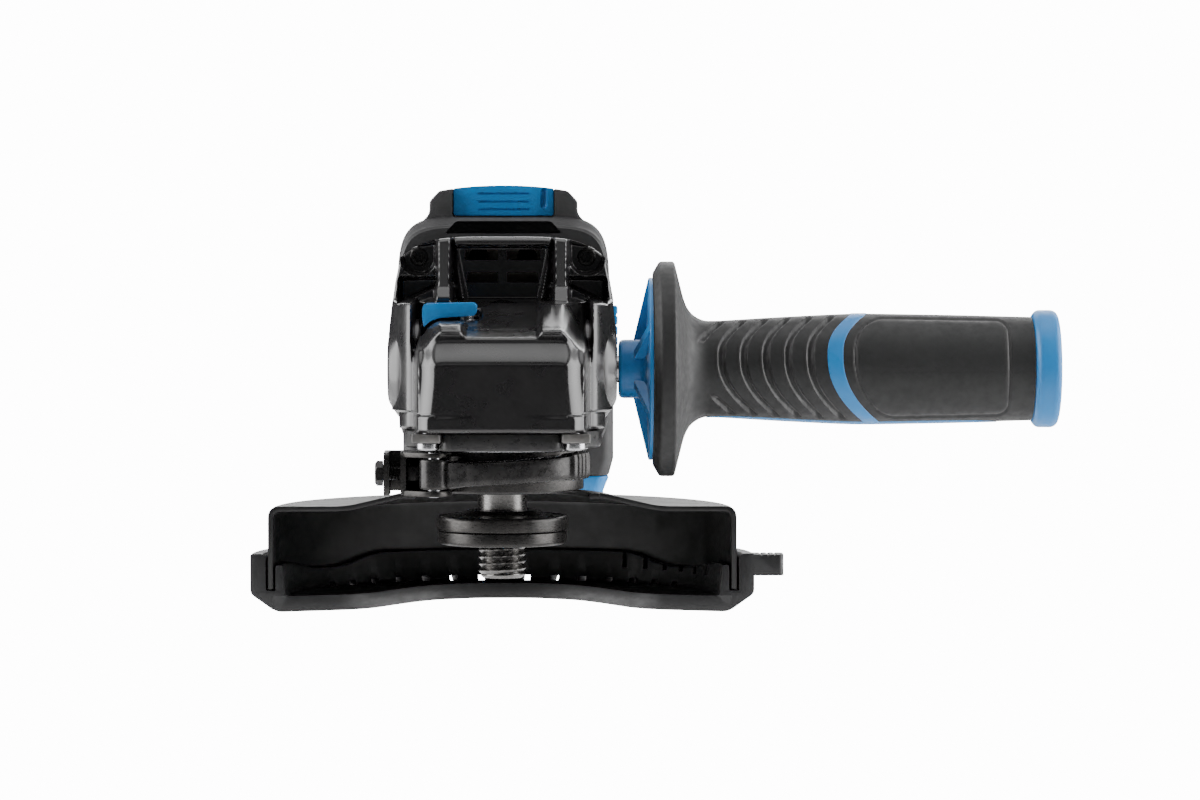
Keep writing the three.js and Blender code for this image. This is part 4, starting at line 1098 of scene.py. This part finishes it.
# ---------------------------------------------------------------- spindle and flanges
def spindle():
    """Turned shaft whose free end carries a thread of 2 mm pitch: the radius loses up to 1 mm along a
    triangle wave of (z / pitch - turn), fading out at both ends."""
    pitch, depth, thread_end, thread_rows = 2.0, 1.0, 14, 112
    profile = fillet([(0, 0), (5.6, 0), (7, 1.4), (7, 25.5), (7.6, 26), (7.6, 38.5), (6, 39), (6, 64.8),
                      (4, 65.2), (4, 71.4), (0, 71.4)],
                     [0, 0.2, 0.2, 0.2, 0.2, 0.2, 0.2, 0.2, 0.2, 0.5, 0], 3, False)
    plain = profile[profile[:, 1] > thread_end]
    rows = np.concatenate([[0.0], np.linspace(0.02, thread_end, thread_rows), plain[:, 1]])
    threaded_part = np.interp(rows[1:thread_rows + 1], [0.02, 1.4, thread_end], [5.6, 7, 7])
    base = np.concatenate([[0.0], threaded_part, plain[:, 0]])
    turn = np.linspace(0, 2 * np.pi, 96, endpoint=False)[None, :]
    height, reach = rows[:, None], base[:, None]
    wave = np.abs(((height / pitch - turn / (2 * np.pi)) % 1.0) * 2 - 1)
    fade = ease(0.4, 1.6, height) * (1 - ease(11.5, 13.5, height))
    reach = reach - depth * wave * fade
    points = on_axis("z", reach * np.cos(turn), reach * np.sin(turn), height + 0 * turn)
    shaft = skin("spindle_shaft", points, caps=False)
    place(shaft, "spindle", "spindle_steel", SPINDLE_STEEL, "spindle")


spindle()


def flanges():
    """Inner flange and the outer flange nut with its four key holes, both turned."""
    inner = [(7.3, 13.9), (18.8, 13.9), (18.8, 17.4), (18.2, 18), (12, 18.4), (10, 19.6), (7.3, 19.6)]
    disc = turned("inner_flange_steel", fillet(inner, [0.2, 0.4, 0.4, 0.4, 1.2, 0.4, 0.3], 4), "z",
                  steps=160, closed=True)
    place(disc, "spindle", "dark_steel", DARK_STEEL, "inner_flange")
    outer = [(7.3, 9.8), (17.8, 9.8), (18.5, 10.5), (18.5, 13.6), (7.3, 13.6)]
    nut = turned("outer_flange_nut_steel", fillet(outer, [0.3, 0.3, 0.3, 0.4, 0.2], 4), "z",
                 steps=160, closed=True)
    for quarter in range(4):
        angle = np.radians(90 * quarter)
        carve(nut, rod("key_hole", "z", 2.4, 9, 11.6, (14 * np.cos(angle), 14 * np.sin(angle))))
    place(nut, "spindle", "dark_steel", DARK_STEEL, "outer_flange_nut")


flanges()


# ---------------------------------------------------------------- side handle
GRIP_FRONT, GRIP_END = 43.5, 152.9
GROOVES, FIRST_GROOVE, GROOVE_STEP, GROOVE_DEPTH = 6, 55.3, 6.37, 1.25
PALM_REACH = 15.5     # radius used to measure the palm panel round the grip
CONE_RIBS = 6


def handle_core():
    """Blue carrier of the handle: hub, thin plate behind the rubber disc, and six webs between them."""
    profile = [(0, 64), (4.3, 64), (4.3, 33.5), (8.5, 33.5), (8.5, 40.6), (11.5, 41.6), (26.4, 42.2),
               (26.4, 43.2), (9, 43.2), (9, GRIP_END), (0, GRIP_END)]
    profile = fillet(profile, [0, 0.1, 0.4, 1.6, 1.2, 1, 0.4, 0.1, 0.1, 0.1, 0], 4, False)
    core = turned("handle_core_blue", profile, "x", HANDLE_AT, 128)
    for index in range(CONE_RIBS):
        web = [(6.5, 38.0), (8.5, 37.9), (26.2, 42.15), (26.2, 42.9), (6.5, 42.9)]
        rib = prism("web", web, "z", -1.3, 1.3)
        turn = Matrix.Rotation(np.radians(30 + index * 60), 4, "X")
        # the web is drawn as (radius, x); swap the two and swing it round the handle's axis
        rib.data.transform(turn @ Matrix(((0, 1, 0, 0), (1, 0, 0, 0), (0, 0, -1, 0), (0, 0, 0, 1))))
        rib.data.transform(Matrix.Translation(Vector((0, HANDLE_Y, HANDLE_Z)) * MM))
        fuse(core, rib)
    place(core, "side_handle", "blue_plastic", BLUE, "handle_core")


def grip_radius(x):
    """Radius of the bare grip at x: rim disc, a flare down to the neck, then a long slow swell."""
    knots = fillet([(43.5, 28.0), (45.3, 31.1), (49.6, 31.1), (53.1, 17.2), (57.4, 13.9), (62, 13.9),
                    (80, 15.0), (99, 15.95), (106, 16), (130, 15.6), (GRIP_END, 15)],
                   [0, 0.8, 0.8, 4.5, 3.2, 2, 8, 8, 4, 8, 0], 9, False)
    return np.interp(x, knots[:, 0], knots[:, 1])


def bow(h):
    """How far the grip's curved features lean towards the handle's end at the height share h (-1 to 1):
    power curves up and down from a foremost point a little above mid height."""
    foremost = 0.27
    up = 7.1 * (np.clip(h - foremost, 0, None) / 0.71) ** 2.6
    down = 11.6 * (np.clip(foremost - h, 0, None) / 1.25) ** 2.3
    return up + down


def handle_grip():
    """Rubber sleeve as a radius over (x, turn): six bowed grooves, then a smooth outlined palm panel.
    Its inner wall is a plain bore."""
    x = np.concatenate([np.linspace(GRIP_FRONT, 60, 70), np.linspace(60.15, 94, 180),
                        np.linspace(94.3, GRIP_END, 170)])[:, None]
    turn = np.linspace(0, 2 * np.pi, 200, endpoint=False)[None, :]
    h = np.sin(turn)
    reach = grip_radius(x) + 0 * turn
    lean = bow(h)
    for index in range(GROOVES):
        start = FIRST_GROOVE + GROOVE_STEP * index
        along = x - start - lean
        groove = ease(0, 0.3, along) * (1 - ease(1.4, 2.4, along))
        ends = (1 - ease(0.93, 0.985, h)) * (1 - ease(0.84, 0.92, -h))
        if index == 0:
            ends = ends * ease(0.50, 0.66, np.abs(h))
        reach = reach - GROOVE_DEPTH * groove * ends
        ridge = ease(-0.7, -0.2, along) * (1 - ease(-0.2, 0.1, along))
        reach = reach + 0.12 * ridge * ends
    left = x - 101.0 - 0.92 * lean
    right = 145.4 - x
    low, high = (h + 0.86) * PALM_REACH, (0.93 - h) * PALM_REACH
    corner = 3.2
    ends_gap = np.minimum(left, right)
    sides_gap = np.minimum(low, high)
    round_gap = np.hypot(np.clip(corner - ends_gap, 0, None), np.clip(corner - sides_gap, 0, None))
    inside = np.minimum(np.minimum(ends_gap, sides_gap), corner - round_gap)
    line = (1 - ease(0.15, 0.5, np.abs(inside))) * (1 - ease(0.93, 0.97, np.abs(h)))
    reach = reach - 0.38 * line + 0.16 * ease(0.4, 1.4, inside)
    # mould line at mid height
    seam = (1 - ease(0.006, 0.02, np.abs(h))) * ease(94, 96, x)
    reach = reach - 0.06 * seam
    outer = on_axis("x", HANDLE_Y + reach * np.cos(turn), HANDLE_Z + reach * h, x + 0 * turn)
    bore = np.full(turn.shape, 9.3)
    inner = [on_axis("x", HANDLE_Y + bore * np.cos(turn), HANDLE_Z + bore * np.sin(turn), end + 0 * turn)
             for end in (GRIP_END, GRIP_FRONT)]
    grip = skin("handle_grip_rubber", np.concatenate([outer] + inner), wrap_rows=True, sharp=np.radians(48))
    place(grip, "side_handle", "soft_grip", RUBBER, "handle_grip")


def handle_band():
    """Blue band round the grip: a flat section carried round the handle along the bowed line."""
    turn = np.linspace(0, 2 * np.pi, 240, endpoint=False)
    half, proud, depth = 2.25, 0.16, 0.8
    section = fillet([(-half, -depth), (half, -depth), (half, proud), (-half, proud)], [0, 0, 0.25, 0.25], 4)
    across, rise = section[:, :1], section[:, 1:]
    centre = 95.4 + bow(np.sin(turn))
    x = centre[None, :] + across
    reach = grip_radius(x) + rise
    points = on_axis("x", HANDLE_Y + reach * np.cos(turn), HANDLE_Z + reach * np.sin(turn), x)
    band = skin("handle_blue_band", points, wrap_rows=True)
    place(band, "side_handle", "blue_plastic", BLUE)


def handle_strip():
    """Blue inlay along the underside: an arc-shaped section carried along x and tapered at both ends."""
    x = np.linspace(59, 143, 90)[:, None]
    around = np.linspace(0, 2 * np.pi, 28, endpoint=False)[None, :]
    taper = np.sqrt(np.clip(1 - ((x - 101) / 42.2) ** 8, 0.02, 1))
    swing = -np.pi / 2 + 0.34 * taper * np.sign(np.cos(around)) * np.abs(np.cos(around)) ** 0.5
    proud, half_thick = 0.2, 0.45
    rise = proud - half_thick + half_thick * np.sign(np.sin(around)) * np.abs(np.sin(around)) ** 0.5
    reach = grip_radius(x) + rise
    points = on_axis("x", HANDLE_Y + reach * np.cos(swing), HANDLE_Z + reach * np.sin(swing), x + 0 * around)
    strip = skin("handle_blue_strip", points)
    place(strip, "side_handle", "blue_plastic", BLUE)


def handle_end_ring():
    """Turned end cap with a rounded rim and a shallow dish."""
    profile = fillet([(0, 153.2), (15.6, 153.2), (17, 154.4), (17, 159.2), (15.9, 160.5), (12, 160.5),
                      (11, 159.6), (0, 159.6)], [0, 0.6, 1.0, 1.0, 0.9, 0.4, 0.4, 0], 6, False)
    end = turned("handle_end_cap", profile, "x", HANDLE_AT, 128)
    place(end, "side_handle", "blue_plastic", BLUE, "handle_end_ring")


handle_core()
handle_grip()
handle_band()
handle_strip()
handle_end_ring()
# the glossy flank of the case would otherwise mirror the handle instead of the softbox
for piece_name in ("handle_core_blue", "handle_grip_rubber", "handle_blue_band", "handle_blue_strip",
                   "handle_end_cap"):
    bpy.data.objects[piece_name].visible_glossy = False


# ---------------------------------------------------------------- grip shells
# (y, half width, bottom, top) of the grip, outside and inside
GRIP_STATIONS = [(112.3, 26.2, 41, 97.5), (114, 27, 40, 98), (126, 22.5, 45, 93), (160, 21.5, 45, 91),
                 (188, 23, 42, 92), (200, 29, 24, 94), (212, 31, 14, 95), (213, 30.4, 14.6, 94.4)]
GRIP_HOLLOW = [(111, 24, 43, 95), (126, 19.5, 48, 90), (160, 18.5, 48, 88), (188, 20, 45, 89),
               (200, 26, 27, 91), (209, 27.6, 18, 91.6)]
FINGER_PITCH = 7.0


def grip_rows(inset, stations):
    """Sections of the grip along y; shallow finger grooves run round the slim middle."""
    rows = []
    y_all = np.array([s[0] for s in stations])
    sizes = np.array([s[1:] for s in stations])
    for y in np.arange(y_all[0], y_all[-1], 0.7).tolist() + [y_all[-1]]:
        i = min(np.searchsorted(y_all, y, side="right") - 1, len(y_all) - 2)
        share = ease(0, 1, (y - y_all[i]) / (y_all[i + 1] - y_all[i]))
        width, bottom, top = blend(sizes[i], sizes[i + 1], share)
        wave = 0.0
        if inset == 0:
            wave = 0.55 * ease(0.55, 1, 0.5 + 0.5 * np.cos(2 * np.pi * y / FINGER_PITCH))
            wave = wave * ease(130, 138, y) * (1 - ease(176, 184, y))
        rows.append(housing_section(y, width - inset - wave, bottom + inset + wave, top - inset, 3.4))
    return np.array(rows)


def grip_shells():
    """Left and right half of the rear grip, hollow, split at x = 0 with a narrow parting line."""
    for side, name in ((-1, "left"), (1, "right")):
        shell = skin(f"grip_shell_{name}_rubber", grip_rows(0, GRIP_STATIONS), sharp=np.radians(50))
        fuse(shell, block("stem", (-22, 212, 30.3), (22, 218, 93)),
             block("head", (-26, 217, 30.3), (26, 221, 93), 0.5))
        carve(shell, skin("hollow", grip_rows(0.001, GRIP_HOLLOW)),
              block("window", (-15, 205, 40), (15, 223, 78)),
              block("blade_channel", (-11, 216.5, 28), (11, 223, 42)))
        away = (-0.15, 60) if side < 0 else (-60, 0.15)
        carve(shell, block("other_side", (away[0], 100, -20), (away[1], 230, 130)))
        soften(shell, 0.25, 2, 55)
        place(shell, "housing", "soft_grip", RUBBER, f"grip_shell_{name}")


grip_shells()


# ---------------------------------------------------------------- battery pack
PACK_FRONT, PACK_REAR, PACK_SIDE = 213.4, 265.0, 35.3


def pack_ring(z, width, front, rear, corner):
    """Plan outline of the pack at one height, with rounded corners."""
    outline = [(width, front + 3.0), (width, rear - 6), (width - 4.6, rear), (-(width - 4.6), rear),
               (-width, rear - 6), (-width, front + 3.0), (-(width - 2.6), front), (width - 2.6, front)]
    flat = fillet(outline, [corner, 4, 4, 4, 4, corner, corner, corner], 6)
    return on_axis("z", flat[:, 0], flat[:, 1], np.full(len(flat), z))


def battery_case():
    """Grey upper and blue lower case as stacks of plan rings (height, half width), with a rail slot,
    hollows, grooves, two ribbed release buttons and the gauge button."""
    top = box_mm("battery_case_upper")[1][Z]
    cells_top = box_mm("cell_pack")[1][Z] + 0.4
    rings = []
    for z, width in ((17.2, 33.4), (17.7, 33.9), (23, 35.3), (76, 35.3), (89, 33.0), (top - 1.6, 31.2),
                     (top - 0.5, 30.2), (top, 28.6)):
        front = PACK_FRONT + (1.2 if z > top - 0.4 else 0)
        rings.append(pack_ring(z, width, front, PACK_REAR - 0.5 * max(0.0, z - 88) ** 0.8, 1.6))
    upper = skin("battery_case_grey", np.array(rings))
    slot = [(26.4, 221.4), (-26.4, 221.4), (-26.4, 216.6), (-22.4, 216.6), (-22.4, 210), (22.4, 210),
            (22.4, 216.6), (26.4, 216.6)]
    carve(upper, prism("rail_slot", slot, "z", 30, top + 5),
          block("cells", (-29.6, 224, 10), (29.6, 262.4, cells_top)),
          block("contacts", (-13.5, 220, 42), (13.5, 225, 76)), block("gauge", (-6, 260, 70), (6, 267, 76)))
    for side in (-1, 1):
        x0, x1 = sorted((side * 31, side * 37))
        carve(upper, block("button_room", (x0, 232, 56), (x1, 248, 74)))
        for z in (30, 35, 40, 45):
            carve(upper, rod("side_groove", "y", 0.9, 226, 256, (side * 35.9, z), 20))
    for z in (84, 88):
        carve(upper, rod("rear_groove", "x", 0.8, -24, 24, (265.4, z), 20))
    soften(upper, 0.5, 3, 38)
    place(upper, "battery", "housing_plastic", HOUSING, "battery_case_upper")

    rings = []
    for z, width in ((FLOOR_Z, 27.4), (FLOOR_Z + 0.5, 28.2), (-7.5, 30), (4, 31), (12, 32), (16.2, 33.7),
                     (16.9, 33.5)):
        drawn = (PACK_SIDE - width) * 0.6
        rings.append(pack_ring(z, width, 214 + drawn, PACK_REAR - drawn, 1.6))
    lower = skin("battery_case_blue", np.array(rings))
    carve(lower, block("cells", (-29.4, 224, 11), (29.4, 262.4, 20)),
          block("floor_room", (-25, 224, 1.6), (25, 257, 11.4)))
    for side in (-1, 1):
        carve(lower, rod("side_groove", "y", 0.8, 222, 258, (side * 31.9, 2), 20))
    soften(lower, 0.6, 3, 38)
    place(lower, "battery", "blue_plastic", BLUE, "battery_case_lower")

    for side, name in ((-1, "left"), (1, "right")):
        x0, x1 = sorted((side * 35, side * 37))
        button = block(f"release_button_{name}_ribbed", (x0, 232.4, 56.4), (x1, 247.6, 73.6), 0.6)
        for z in (60, 63.5, 67, 70.5):
            carve(button, rod("rib_gap", "y", 0.6, 231, 249, (side * 37.1, z), 20))
        place(button, f"release_{name}", "blue_plastic", BLUE, f"release_button_{name}")
    gauge = block("gauge_button_cap", (-5.6, 263.4, 70.4), (5.6, 265.7, 75.6), 0.6)
    place(gauge, "gauge", "dark_plastic", BLACK, "gauge_button")


battery_case()


# ---------------------------------------------------------------- finishes of the kept pieces
KEPT_FINISHES = {
    "air_baffle": PALE, "fan": PALE, "stator": LAMINATED, "rotor_core": LAMINATED, "winding_front": COPPER,
    "winding_rear": COPPER, "battery_terminals": COPPER, "motor_bearing_front": STEEL,
    "motor_bearing_rear": STEEL, "spindle_bearing_lower": STEEL, "spindle_bearing_upper": STEEL,
    "rotor_shaft": STEEL, "lock_pin": STEEL, "lock_spring": STEEL, "switch_rod": BLACK, "handle_stud": STEEL,
    "ring_gear": DARK_STEEL, "pinion": DARK_STEEL, "switch_unit": BLACK, "terminal_block": BLACK,
    "control_board": BOARD, "cell_pack": SLEEVE,
}
for node_name, finish in KEPT_FINISHES.items():
    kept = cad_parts[node_name]
    for place_for_finish in kept.material_slots:
        place_for_finish.material = finish
